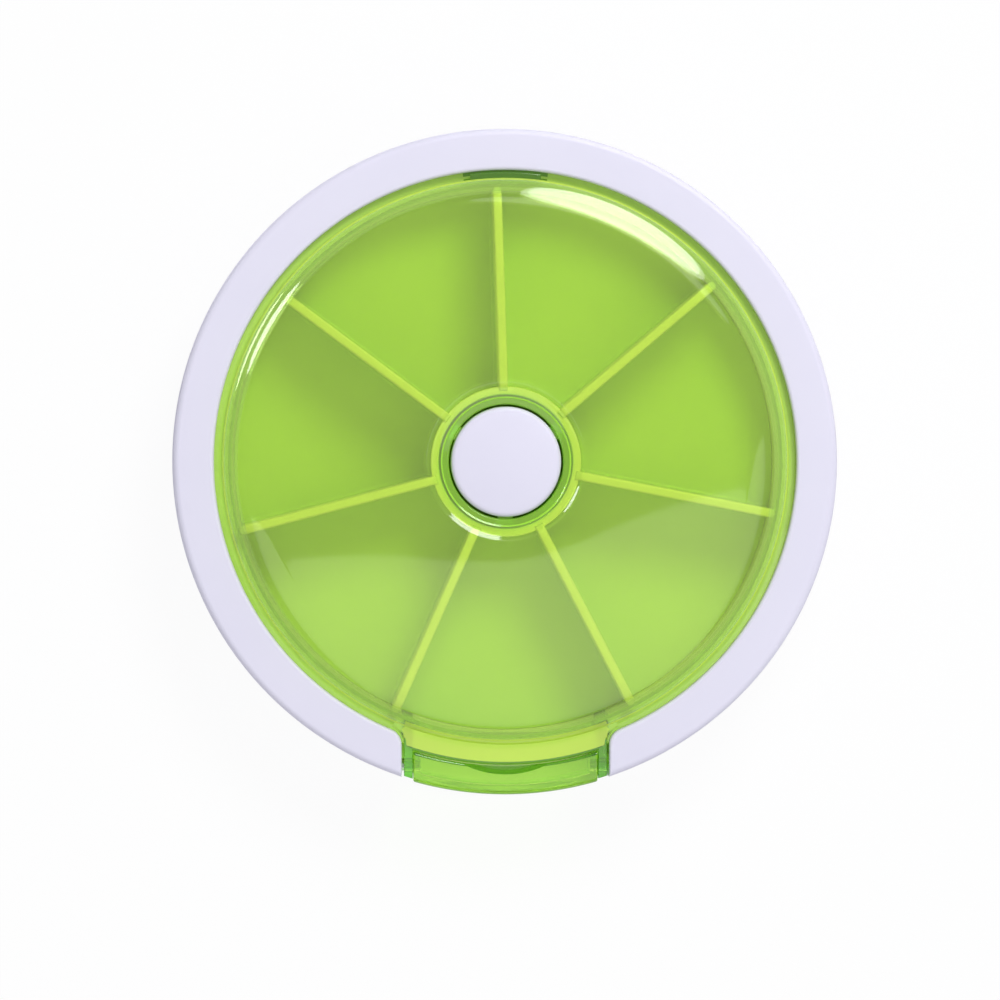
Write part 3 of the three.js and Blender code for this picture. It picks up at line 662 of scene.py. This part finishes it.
def makeBowl():
    s = bowlShape
    r, wall, edge = case["radius"], case["wall"], case["edgeRadius"]
    low, floor, parting = case["undersideZ"], case["floorZ"], case["partingZ"]
    root = floor - 0.3  # what stands on the floor starts inside it
    inside, grooveTop = r - wall, low + s["grooveDepth"]
    lap, lapTop = inside + case["lap"], parting + case["lapHeight"]
    grooveFrom, grooveTo = s["grooveRadius"] - s["grooveHalf"], s["grooveRadius"] + s["grooveHalf"]
    outline = [(0, low), (grooveFrom, low), (grooveFrom + 0.2, grooveTop), (grooveTo - 0.2, grooveTop),
               (grooveTo, low), *arc(r - edge, low + edge, edge, -90, 0, 16),
               (r, parting - s["topEdge"]), (r - s["topEdge"], parting), (lap, parting),
               (lap, lapTop - s["lapEdge"]), (lap - s["lapEdge"], lapTop), (inside, lapTop),
               *arc(r - edge, low + edge, edge - wall, 0, -90, 10), (0, floor)]
    bowl = turned("base_shell_visual", outline)

    outline = [(s["ledgeOuter"], root), (s["ledgeOuter"], s["kerbZ"]), (s["kerbInner"], s["kerbZ"]),
               (s["kerbInner"], s["ledgeZ"]), (s["ledgeInner"], s["ledgeZ"]), (s["ledgeInner"], root)]
    ledge = turned("ledge", outline, 128)
    shoulder, shoulderZ, top = s["postShoulder"], s["postShoulderZ"], s["postTopZ"]
    outline = [(s["postOuter"], root), (s["postOuter"], shoulderZ), (shoulder, shoulderZ),
               *fillet((shoulder, top), (shoulder, shoulderZ), (s["postBore"], top), 0.2, 3),
               (s["postBore"], top), (s["postBore"], root)]
    post = turned("post", outline, 96)
    places = cornerPlaces(case["screwCircle"])
    pillars = [rod("pillar", s["pillar"], place, root, parting) for place in places]

    inner, outer, seat, seatZ = s["roomInner"], s["roomOuter"], s["seatOuter"], s["seatZ"]
    seatTop = coverShape["flangeZ"] - touch
    outline = [(inner, root), (outer, root), *fillet((outer, seatZ), (outer, floor), (seat, seatZ), 0.4, 4),
               *fillet((seat, seatZ), (outer, seatZ), (seat, seatTop), 0.1, 3), (seat, seatTop),
               *fillet((inner, seatTop), (outer, seatTop), (inner, floor), 0.12, 3)]
    room = turned("room wall", outline)
    mouth = block("mouth", (-outlet["half"], outlet["half"]), (-46, -30), (floor, 16))
    bowl = cutAway(joined(bowl, ledge, post, room, *pillars), mouth)

    bosses = []
    for xs in bothSides(outlet["half"], s["pivotBossX"]):
        boss = block("pivot boss", xs, s["pivotBossY"], (2, s["pivotBossTopZ"]), 0.25)
        bosses.append(combine("INTERSECT", boss, rod("bounds", r - 0.2, (0, 0), 0, parting, 128)))
    outer, top = s["rampRadius"], s["rampTopZ"]
    outline = [(inner, floor - 0.2), (outer, floor - 0.2), (outer, top),
               *fillet((inner, top), (outer, top), (inner, floor), 0.15, 3)]
    rampRoom = block("ramp room", (-outlet["doorHalf"], outlet["doorHalf"]), (outlet["pivotY"], -30), (0, 12))
    ramp = combine("INTERSECT", turned("ramp", outline), rampRoom)
    ramp = cutAway(ramp, hingeRod("swing", s["swingRadius"], (-15, 15), 96))
    bowl = joined(bowl, ramp, *bosses)

    cuts = []
    for place, footPlace in zip(places, cornerPlaces(case["footCircle"])):
        cuts.append(rod("screw bore", case["screwBore"], place, 0, 13))
        cuts.append(rod("head bore", case["screwHead"] + gap, place, 0, case["screwSeatZ"]))
        cuts.append(rod("foot pocket", case["footRadius"] + gap, footPlace, 0, case["footTopZ"], 64))
    for xs in bothSides(13, 15.1):
        cuts.append(hingeRod("pin bore", outlet["pinBore"], xs))
    cuts.append(rod("click screw bore", s["clickScrewBore"], s["clickScrewPlace"], 0.9, 3.2))
    return cutAway(bowl, *cuts)


placePiece(makeBowl(), "case", whiteAbs, ["base_shell"])
print("stage: case made")


def domeTop(r):
    c = coverShape
    share = max(r - c["wellTo"], 0) / (c["shoulderRadius"] - c["wellTo"])
    return c["crownZ"] - c["crownDrop"] * share ** 2


def domeShoulder(inset, endRadius, steps):
    # from the dome's edge out to a radius, inset from its outer face: a slow bend, then a tighter one
    c = coverShape
    centreZ = c["crownZ"] - c["crownDrop"] - c["shoulderBend"]
    across, up = polar(c["shoulderBend"] - c["edgeBend"], 90 - c["edgeSlope"])
    edgeR, edgeZ = c["shoulderRadius"] + across, centreZ + up
    bend = c["edgeBend"] - inset
    last = math.degrees(math.acos((endRadius - edgeR) / bend))
    turnAt = 90 - c["edgeSlope"]
    return [*arc(c["shoulderRadius"], centreZ, c["shoulderBend"] - inset, 89, turnAt, steps),
            *arc(edgeR, edgeZ, bend, turnAt, last, steps)[1:]]


def domeUnder(drop):
    # underside of the dome from the collar out to the wall round the tray, lowered by drop
    c = coverShape
    down = c["wall"] + drop
    well, crown = c["wellZ"] - down, c["crownZ"] - down
    points = [(c["collarOuter"], well), *smoothRise((c["wellFrom"], well), (c["wellTo"], crown), 12)]
    points += [(r, domeTop(r) - down) for r in spread(c["wellTo"], c["shoulderRadius"], 20)[1:]]
    return points + domeShoulder(down, bowlShape["roomInner"] - drop, 12)


def makeDome():
    # dome, well, collar and flange, as one turned shell
    c = coverShape
    bore, collar, rimZ = c["collarInner"], c["collarOuter"], c["wellZ"] - c["rimStep"]
    flange, flangeTop = c["flangeRadius"], case["lipZ"] - touch
    outline = [(bore, c["collarZ"]), *fillet((bore, rimZ), (bore, 15), (8.6, rimZ), c["collarEdge"], 5)]
    outline += smoothRise((collar - 2 * c["rimStep"], rimZ), (collar, c["wellZ"]), 8)
    outline += smoothRise((c["wellFrom"], c["wellZ"]), (c["wellTo"], c["crownZ"]), 18)
    outline += [(r, domeTop(r)) for r in spread(c["wellTo"], c["shoulderRadius"], 24)[1:]]
    outline += domeShoulder(0, c["domeRadius"], 16)
    root = outline[-1]
    outline += fillet((c["domeRadius"], flangeTop), root, (flange, flangeTop), c["rootFillet"], 8)
    outline += fillet((flange, flangeTop), (39, flangeTop), (flange, c["flangeZ"]), c["flangeEdge"], 4)
    outline += [(flange, c["flangeZ"]), (bowlShape["roomInner"], c["flangeZ"])]
    outline += [*reversed(domeUnder(0)), (collar, c["collarZ"])]
    return turned("cover_visual", outline, 256)


def makeCover():
    c = coverShape
    half = outlet["half"] - gap
    joint = bowlShape["roomInner"] + 0.2
    swing = math.degrees(math.asin(half / outlet["tongueRadius"]))
    corner = arc(cornerX, cornerY, outlet["cornerRadius"] + gap, 180, cornerTurn, cornerSteps)
    front = [(-x, y) for x, y in reversed(corner)]
    front += [polar(outlet["tongueRadius"], a) for a in spread(-90 - swing, -90 + swing, 48)]
    front += corner
    back = [polar(joint, a) for a in spread(-180 - cornerFrom, cornerFrom, len(front) - 1)]
    top = outlet["tongueZ"]
    low = top - outlet["tongueWall"]
    parts = [slab("tongue", front, back, low, top, (c["tongueEdge"], 0, 0), (0.12, 0, 0))]

    rim = outlet["cheekRadius"]
    for xs in bothSides(outlet["cheekInner"], half):
        reach = turned("reach", [(joint, 2), (rim, 2), (rim, 18), (joint, 18)])
        cheek = block("cheek", xs, (-46, -30), (case["floorZ"] + touch, top - 0.02), 0.15)
        parts.append(combine("INTERSECT", cheek, reach))
    tabTurn = spread(90 - c["tabDegrees"] / 2, 90 + c["tabDegrees"] / 2, 32)
    tab = [[polar(r, a) for a in tabTurn] for r in (case["ringInner"] - gap, joint + 0.1)]
    parts.append(slab("tab", *tab, case["lipZ"] - 0.2, c["tabTopZ"], (0.25, 0.1, 0.25)))
    shell = joined(makeDome(), *parts)

    cuts = [spokeBlock("key slot", a, (6.9, 9.1), c["keySlotWidth"], (9.2, c["keySlotTopZ"]))
            for a in c["keyAngles"]]
    for place in cornerPlaces(case["screwCircle"]):
        cuts.append(rod("boss notch", ringShape["bossRadius"] + gap, place, c["bossNotchZ"], 15.9))
    bore, pivotY = outlet["pinBore"], outlet["pivotY"]
    for xs in bothSides(12, 14):
        cuts.append(hingeRod("pin bore", bore, xs))
        cuts.append(block("pin slot", xs, (pivotY - bore, pivotY + bore), (2, outlet["pivotZ"])))
    return cutAway(shell, *cuts)


coverPiece = placePiece(makeCover(), "case", clear["cover"], ["cover"], 28)
flangeLine = 16.75  # height between the dome's upright edge and the fillet at its foot
# painted light: the collar's bore, the shoulder and the flange get less clear finishes, so they read lighter
# than the clear cover renders there
paintFaces(coverPiece, clear["collar"], (-1, coverShape["collarOuter"] + 0.1))
paintFaces(coverPiece, clear["shoulder"], (36.2, 38.3), (flangeLine, 99))
paintFaces(coverPiece, clear["flange"], (38.1, 99), (-1, flangeLine))
# painted light: the dome's outer edge gets the bright tongue finish, for the light it pipes, so it reads as a
# thin line as bright as the tongue
paintFaces(coverPiece, clear["tongue"], (37.97, 38.19), (flangeLine, 99))
# painted light: the tongue's top gets the same bright finish
paintFaces(coverPiece, clear["tongue"], (37.5, 40.5), (15, 99), across=(-1, 13.75), along=(-99, -33))
# painted shade: the cheeks beside the door, the tongue's front edge and the thick tab at the back get darker
# green finishes, for the shade they show seen edge-on and through the tab
paintFaces(coverPiece, clear["cheek"], heights=(-1, 16.95), across=(12.5, 99), along=(-99, -38.6))
paintFaces(coverPiece, clear["notch"], (40.56, 41.05), (15.65, 99), across=(-1, 13), along=(-99, -36))
paintFaces(coverPiece, clear["notch"], (38.25, 99), (15.7, 17.35), across=(-1, 5.2), along=(36.5, 99))
print("stage: cover made")

# Lime tray with its hub and seven spokes
trayShape = {
    "compartments": 7,
    "firstSpoke": 91.8,
    "radius": 36.96,
    "bore": 6.5,
    "lowZ": 4.0,
    "floorZ": 5.2,
    "hubInner": 9.1,
    "hubOuter": 10.3,
    "hubTopZ": 18.0,
    "hubEdge": 0.2,
    "spokeWidth": 1.2,
    "spokeReach": 36.85,
    "spokeEdge": 0.32,
    "rootFillet": 0.6,
    "runningGap": 0.4,
    "toothTipRadius": 8.0,
    "toothBackRadius": 8.5,
    "toothTopZ": 9.0,
    "notchFrom": 19.1,      # pockets under the tray that the leaf spring clicks into
    "notchTo": 24.9,
    "notchHalf": 2.0,
    "notchDepth": 0.7,
    "notchTaper": 0.55,
}


def trayRoof(x, y):
    # spokes follow the underside of the dome at a running gap
    r = math.hypot(x, y)
    points = domeUnder(trayShape["runningGap"])
    if r <= points[0][0]:
        return points[0][1]
    for (r0, z0), (r1, z1) in zip(points, points[1:]):
        if r <= r1:
            return z0 + (z1 - z0) * (r - r0) / max(r1 - r0, 1e-6)
    return points[-1][1]


def makeSpoke(degrees):
    t = trayShape
    half = t["spokeWidth"] / 2
    tipCentre = t["spokeReach"] - half
    along = [9.6] + spread(10.2, tipCentre, 60)
    lower = [(x, -half) for x in along[:-1]] + arc(tipCentre, 0, half, -90, -6, 8)
    upper = [(x, -y) for x, y in lower]
    edges = (t["spokeEdge"],) * 3
    spoke = slab("spoke", lower, upper, t["floorZ"] - 0.02, 0, edges, flare=t["rootFillet"], topAt=trayRoof)
    # the fillet at the spoke's foot stays inside the wall round the tray
    tipLimit = (t["radius"] + t["spokeReach"]) / 2
    for v in spoke.data.vertices:
        v.co.xy *= min(1, tipLimit / v.co.xy.length)
    return turnTo(spoke, degrees)


def makeTray():
    t = trayShape
    low, floor, root = t["lowZ"], t["floorZ"], t["rootFillet"]
    rim, bore, inner, outer, top = t["radius"], t["bore"], t["hubInner"], t["hubOuter"], t["hubTopZ"]
    outline = [(bore, low), *fillet((rim, low), (bore, low), (rim, floor), 0.2, 3)]
    outline += fillet((rim, floor), (rim, low), (bore, floor), 0.04, 2)
    outline += arc(outer + root, floor + root, root, 270, 180, 6)
    outline += fillet((outer, top), (outer, floor), (inner, top), t["hubEdge"], 5)
    outline += fillet((inner, top), (outer, top), (inner, floor), t["hubEdge"], 5)
    outline += [(inner, floor), (bore, floor)]
    tray = turned("pill_tray_visual", outline)
    pieces, notches = [], []
    for i in range(t["compartments"]):
        turn = i * 360 / t["compartments"]
        pieces.append(makeSpoke(t["firstSpoke"] + turn))
        steep = [polar(9.5, turn), polar(t["toothTipRadius"], turn)]
        slow = [polar(9.5, turn + 20), polar(t["toothBackRadius"], turn + 10)]
        pieces.append(slab("tooth", steep, slow, floor - 0.2, t["toothTopZ"]))
        sides = [[(x, y) for x in (t["notchFrom"], t["notchTo"])] for y in (-t["notchHalf"], t["notchHalf"])]
        notch = slab("detent notch", *sides, low - 0.1, low + t["notchDepth"])
        for v in notch.data.vertices:
            if v.co.z > low:
                v.co.y *= t["notchTaper"]
        notches.append(turnTo(notch, turn))
    return cutAway(joined(tray, *pieces), *notches)


placePiece(makeTray(), "tray", limePp, ["pill_tray"])
print("stage: tray made")

# Push button
buttonShape = {
    "radius": 7.4,
    "inner": 6.2,
    "topZ": 21.0,
    "crown": 0.384,
    "edge": 0.7,
    "ceilingZ": 19.0,
    "socketOuter": 4.2,     # socket for the stem's head
    "socketInner": 3.0,
    "socketZ": 16.4,
    "skirtZ": 13.4,
    "skirtEdge": 0.15,
    "keyInner": 6.8,
    "keyRadius": 8.5,
    "keyWidth": 2.0,
    "keyTopZ": 14.8,
}


def makeButton():
    b = buttonShape
    r, face, ceiling, skirt = b["radius"], b["radius"] - b["edge"], b["ceilingZ"], b["skirtZ"]
    outline = [(x, b["topZ"] - b["crown"] * (x / face) ** 2) for x in spread(0, face - 0.2, 16)]
    outline += arc(face, b["topZ"] - b["crown"] - b["edge"], b["edge"], 78, 0, 10)
    outline += [(r, skirt + b["skirtEdge"]), (r - b["skirtEdge"], skirt), (b["inner"], skirt)]
    outline += [(b["inner"], ceiling), (b["socketOuter"], ceiling), (b["socketOuter"], b["socketZ"])]
    outline += [(b["socketInner"], b["socketZ"]), (b["socketInner"], ceiling), (0, ceiling)]
    button = turned("push_button_visual", outline, 128)
    keys = [spokeBlock("key", a, (b["keyInner"], b["keyRadius"]), b["keyWidth"], (skirt, b["keyTopZ"]), 0.12)
            for a in coverShape["keyAngles"]]
    return joined(button, *keys)


placePiece(makeButton(), "button", whiteAbs, ["push_button"])

# Clear outlet door with its nail notch
doorShape = {
    "wall": 1.2,
    "outerEdge": 0.8,
    "innerEdge": 0.4,
    "endEdge": 0.22,
    "insideFillet": 0.4,
    "notchHalf": 6.2,
    "notchDepth": 1.15,
    "notchSink": 0.9,
    "notchSlope": 0.55,
    "knuckle": 1.7,
    "webY": (-42.8, -40.2),
    "nub": 0.4,
    "nubY": -40.4,
}


def makeDoorNotch(inner, top):
    # a flat bowl, sunk into the door's inner edge
    d = doorShape
    deep = inner + d["notchDepth"]
    sag = deep - math.sqrt(inner ** 2 - d["notchHalf"] ** 2)
    wide = (d["notchHalf"] ** 2 + sag ** 2) / (2 * sag)
    narrow, sunk = wide - d["notchSlope"], top - d["notchSink"]
    outline = [(0, sunk), *fillet((narrow, sunk), (0, sunk), (wide, top), 0.25, 4), (wide, top),
               (wide, top + 1), (0, top + 1)]
    notch = turned("notch", outline, 256)
    notch.data.transform(Matrix.Translation((0, wide - deep, 0)))
    return notch


def makeDoor():
    d = doorShape
    half, outer, inner = outlet["doorHalf"], case["radius"], outlet["tongueRadius"] + outlet["doorGap"]
    top, foot, inside = outlet["tongueZ"], case["floorZ"], outer - d["wall"]
    low, edge = top - outlet["tongueWall"], d["outerEdge"]
    outline = [(inner, low), *fillet((inside, low), (inner, low), (inside, foot), d["insideFillet"], 5),
               (inside, foot), (outer, foot), *arc(outer - edge, top - edge, edge, 0, 90, 10),
               *fillet((inner, top), (outer - 1, top), (inner, low), d["innerEdge"], 5)]

    def doorAngles(radius):
        swing = math.degrees(math.asin(half / radius))
        return spread(-90 - swing, -90 + swing, 72)

    door = swept("outlet_lid_visual", outline, doorAngles, d["endEdge"])
    parts, bores, nubs = [], [], []
    for xs in bothSides(half - 1, half):
        parts.append(block("web", xs, d["webY"], (outlet["pivotZ"], top - 0.6), 0.12))
        parts.append(hingeRod("knuckle", d["knuckle"], xs, 64, 0.12))
    for xs in bothSides(11, 13):
        bores.append(hingeRod("pin bore", outlet["pinBore"], xs))
    # below the hinge the door keeps to the circle that it swings in
    trim = cutAway(block("trim", (-15, 15), (-46, -36), (0, outlet["pivotZ"])),
                   hingeRod("swing", outer + outlet["pivotY"], (-16, 16), 96))
    door = cutAway(joined(door, *parts), trim, makeDoorNotch(inner, top), *bores)
    nubX = outlet["cheekInner"] - d["nub"] - 0.02  # the nubs end just short of the cheeks
    for x in (nubX, -nubX):
        bm = bmesh.new()
        bmesh.ops.create_uvsphere(bm, u_segments=24, v_segments=16, radius=d["nub"])
        nub = toObject("nub", bm)
        nub.data.transform(Matrix.Translation((x, d["nubY"], top - 0.6)))
        nubs.append(nub)
    return joined(door, *nubs)


doorPiece = placePiece(makeDoor(), "lid", clear["door"], ["outlet_lid"], 28)
# painted shade: the nail notch's hollow and the door's inner edge get the dark green finish, for the shade in
# the notch and the shadow line between tongue and door
paintFaces(doorPiece, clear["notch"], heights=(15.9, 16.85), across=(-1, 6.4), along=(-42.7, -40.9))
paintFaces(doorPiece, clear["notch"], (41.05, 41.46), (15.5, 99), across=(-1, 12.4))
print("stage: button and door made")

# Hinge pins, screws and feet
smallParts = {
    "pinEdge": 0.12,
    "screwRadius": 0.65,
    "screwTipZ": 14.9,
    "screwHeadHeight": 1.4,
    "screwHeadEdge": 0.35,
    "recessReach": 0.95,
    "recessWidth": 0.45,
    "recessDepth": 0.7,
    "footDimple": 2.2,
    "footDimpleDepth": 0.12,
    "footEdge": 0.35,
}


def makePins():
    right, left = bothSides(outlet["pinFromX"], outlet["pinToX"])
    for name, xs in (("left", left), ("right", right)):
        pin = hingeRod(f"hinge_pin_{name}_visual", outlet["pinRadius"], xs, 32, smallParts["pinEdge"])
        placePiece(pin, "case", steel, [f"hinge_pin_{name}"])


def makeScrews():
    s = smallParts
    seat, head, shank, tip = case["screwSeatZ"], case["screwHead"], s["screwRadius"], s["screwTipZ"]
    faceZ = seat - s["screwHeadHeight"]
    reach, depth = (-s["recessReach"], s["recessReach"]), (faceZ - 0.2, faceZ + s["recessDepth"])
    for i, place in enumerate(cornerPlaces(case["screwCircle"])):
        outline = [(0, faceZ), *fillet((head, faceZ), (0, faceZ), (head, seat), s["screwHeadEdge"], 5),
                   (head, seat), (shank, seat), (shank, tip - 0.6), (0.15, tip), (0, tip)]
        screw = turned(f"case_screw_{i + 1}_visual", outline, 48)
        # each cross is turned a little further than the last
        arms = [spokeBlock("recess", turn + 20 * i, reach, s["recessWidth"], depth) for turn in (0, 90)]
        screw = cutAway(screw, *arms)
        screw.data.transform(Matrix.Translation((*place, 0)))
        placePiece(screw, "case", steel, [f"case_screw_{i + 1}"])


def makeFeet():
    s = smallParts
    r, top = case["footRadius"], case["footTopZ"]
    dimple, depth = s["footDimple"], s["footDimpleDepth"]
    for i, place in enumerate(cornerPlaces(case["footCircle"])):
        outline = [(0, depth), (dimple, depth), (dimple + 0.3, 0),
                   *fillet((r, 0), (dimple + 0.3, 0), (r, top), s["footEdge"], 5), (r, top), (0, top)]
        foot = turned(f"foot_{i + 1}_visual", outline, 64)
        foot.data.transform(Matrix.Translation((*place, 0)))
        placePiece(foot, "case", rubber, [f"foot_{i + 1}"])


makePins()
makeScrews()
makeFeet()

# Spring under the button: an even helix of round wire
springShape = {
    "meanRadius": 4.9,
    "wire": 0.35,
    "turns": 5,
    "lowZ": 9.9,
    "highZ": 19.0,
}


def makeSpring():
    s = springShape
    low, high = s["lowZ"] + s["wire"], s["highZ"] - s["wire"]
    steps, ringSteps = 64 * s["turns"], 14
    pitch = (high - low) / (2 * math.pi * s["turns"])
    section = [2 * math.pi * k / ringSteps for k in range(ringSteps)]
    bm = bmesh.new()
    rows = []
    for t in spread(0, 1, steps):
        x, y = polar(1, 360 * s["turns"] * t)
        out = Vector((x, y, 0))
        along = Vector((-y * s["meanRadius"], x * s["meanRadius"], pitch)).normalized()
        side = along.cross(out)
        centre = out * s["meanRadius"] + Vector((0, 0, low + (high - low) * t))
        rows.append([bm.verts.new(centre + (out * math.cos(a) + side * math.sin(a)) * s["wire"])
                     for a in section])
    skinRows(bm, rows, False)
    bm.faces.new(rows[0])
    bm.faces.new(list(reversed(rows[-1])))
    spring = toObject("button_spring_visual", bm)
    placePiece(spring, "case", steel, ["button_spring"], 50)
    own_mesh(spring)


makeSpring()

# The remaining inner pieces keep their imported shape
packedFinishes = {
    "drive_spindle": acetal,
    "drive_nut": acetal,
    "pawl_ring": acetal,
    "bearing_washer": acetal,
    "thrust_washer": steel,
    "click_spring": steel,
    "click_spring_screw": steel,
}
for node, finish in packedFinishes.items():
    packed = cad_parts[node]
    packed.data.materials.clear()
    packed.data.materials.append(finish)
print("stage: small parts made")

# Floor, lights, world and camera
studio = {
    "floor": "#F7F7F8",
    "floorLift": 0.93,        # share of plain white seen by the camera and in reflections
    "world": "#F4F6FA",
    "worldLevel": 0.42,
    "frameMm": 135.0,         # width of the picture at the height of the aim
    "aim": (-0.72, -5.22, 16.0),
    "distance": 1000.0,
    "leanX": -1.5,
    "leanY": 1.0,
}

# places and sizes in metres; radiance 1 is a panel that looks plain white
lamps = {
    # softbox at one o'clock, standing
    "key softbox": {"place": (*polar(0.33, 63), 0.20), "size": (0.26, 0.33), "radiance": 4.0},
    # what it throws on the object comes from further off, so that it falls evenly
    "key spill": {"place": (*polar(0.49, 66), 0.646), "size": (0.34, 0.34), "radiance": 11.5,
                  "gives": "diffuse"},
    "key core": {"place": (*polar(0.3267, 63), 0.199), "size": (0.24, 0.28), "radiance": 4.6},
    # a dimmer reflector above the key: the soft green band inside the highlight
    "key reflector": {"place": (*polar(0.264, 63), 0.33), "size": (0.34, 0.10), "radiance": 1.3},
    # panel on the outlet side, facing down: its edge draws the haze line on the dome
    "overhead panel": {"place": (0.05, -0.333, 0.60), "size": (0.9, 0.60), "radiance": 0.85,
                       "gives": "both", "aim": (0.05, -0.333, 0), "shape": "RECTANGLE", "spin": 9},
    # low strip on the left for the streak at the shoulder's foot
    "left strip": {"place": (*polar(0.34, 154), 0.055), "size": (0.14, 0.05), "radiance": 9.0},
    # slim one above it for the glint at the lower right of the well
    "left glint": {"place": (*polar(0.32, 150), 0.180), "size": (0.13, 0.05), "radiance": 10.0},
}


def areaLight(name, place, size, radiance, gives="gloss", aim=(0, 0, 0.016), shape="ELLIPSE", spin=0):
    # gives is "gloss" for a lamp that only shows as a reflection or through clear plastic,
    # "diffuse" for one that never does, or "both"
    light = bpy.data.lights.new(name, "AREA")
    light.shape = shape
    light.size, light.size_y = size
    share = math.pi / 4 if shape == "ELLIPSE" else 1
    light.energy = radiance * math.pi * size[0] * size[1] * share
    lamp = bpy.data.objects.new(name, light)
    bpy.context.scene.collection.objects.link(lamp)
    lamp.location = place
    facing = (Vector(aim) - Vector(place)).to_track_quat("-Z", "Y")
    lamp.rotation_euler = (Matrix.Rotation(math.radians(spin), 3, "Z") @ facing.to_matrix()).to_euler()
    lamp.visible_camera = False
    lamp.visible_diffuse = gives != "gloss"
    lamp.visible_glossy = gives != "diffuse"
    lamp.visible_transmission = gives != "diffuse"


def makeFloor():
    bpy.ops.mesh.primitive_plane_add(size=6, location=(0, 0, 0))
    floor = bpy.context.object
    floor.name = "floor"
    made, tree = newMaterial("studio floor, matte white")
    matte = addNode(tree, "ShaderNodeBsdfDiffuse", {"Color": colour(studio["floor"])})
    white = addNode(tree, "ShaderNodeEmission", {"Color": (1, 1, 1, 1), "Strength": 1.0})
    path = addNode(tree, "ShaderNodeLightPath").outputs
    seen = addNode(tree, "ShaderNodeMath", {"operation": "MAXIMUM"},
                   {0: path["Is Camera Ray"], 1: path["Is Glossy Ray"]})
    seen = addNode(tree, "ShaderNodeMath", {"operation": "MAXIMUM"},
                   {0: seen.outputs[0], 1: path["Is Transmission Ray"]})
    lift = addNode(tree, "ShaderNodeMath", {"operation": "MULTIPLY", 1: studio["floorLift"]},
                   {0: seen.outputs[0]})
    mixed = addNode(tree, "ShaderNodeMixShader", None, {
        0: lift.outputs[0], 1: matte.outputs["BSDF"], 2: white.outputs["Emission"]})
    addNode(tree, "ShaderNodeOutputMaterial", None, {"Surface": mixed.outputs["Shader"]})
    floor.data.materials.append(made)


def makeLight():
    world = bpy.data.worlds.new("studio")
    bpy.context.scene.world = world
    world.use_nodes = True
    tree = world.node_tree
    tree.nodes.clear()
    soft = addNode(tree, "ShaderNodeBackground",
                   {"Color": colour(studio["world"]), "Strength": studio["worldLevel"]})
    addNode(tree, "ShaderNodeOutputWorld", None, {"Surface": soft.outputs["Background"]})
    for name, lamp in lamps.items():
        areaLight(name, **lamp)


def makeCamera():
    lens = bpy.data.cameras.new("camera")
    eye = bpy.data.objects.new("camera", lens)
    bpy.context.scene.collection.objects.link(eye)
    aim = Vector(studio["aim"])
    lean = [math.tan(math.radians(studio[key])) for key in ("leanX", "leanY")]
    away = Vector((*lean, 1)).normalized()
    eye.location = (aim + away * studio["distance"]) * mm
    side = Vector((0, 1, 0)).cross(away).normalized()
    up = away.cross(side)
    eye.rotation_euler = Matrix((side, up, away)).transposed().to_euler()
    lens.sensor_width = 36
    lens.lens = 36 * studio["distance"] / studio["frameMm"]
    lens.clip_start, lens.clip_end = 0.01, 20
    bpy.context.scene.camera = eye


makeFloor()
makeLight()
makeCamera()
bpy.context.scene.view_settings.view_transform = "Standard"
print("stage: studio made")

bpy.context.view_layer.update()
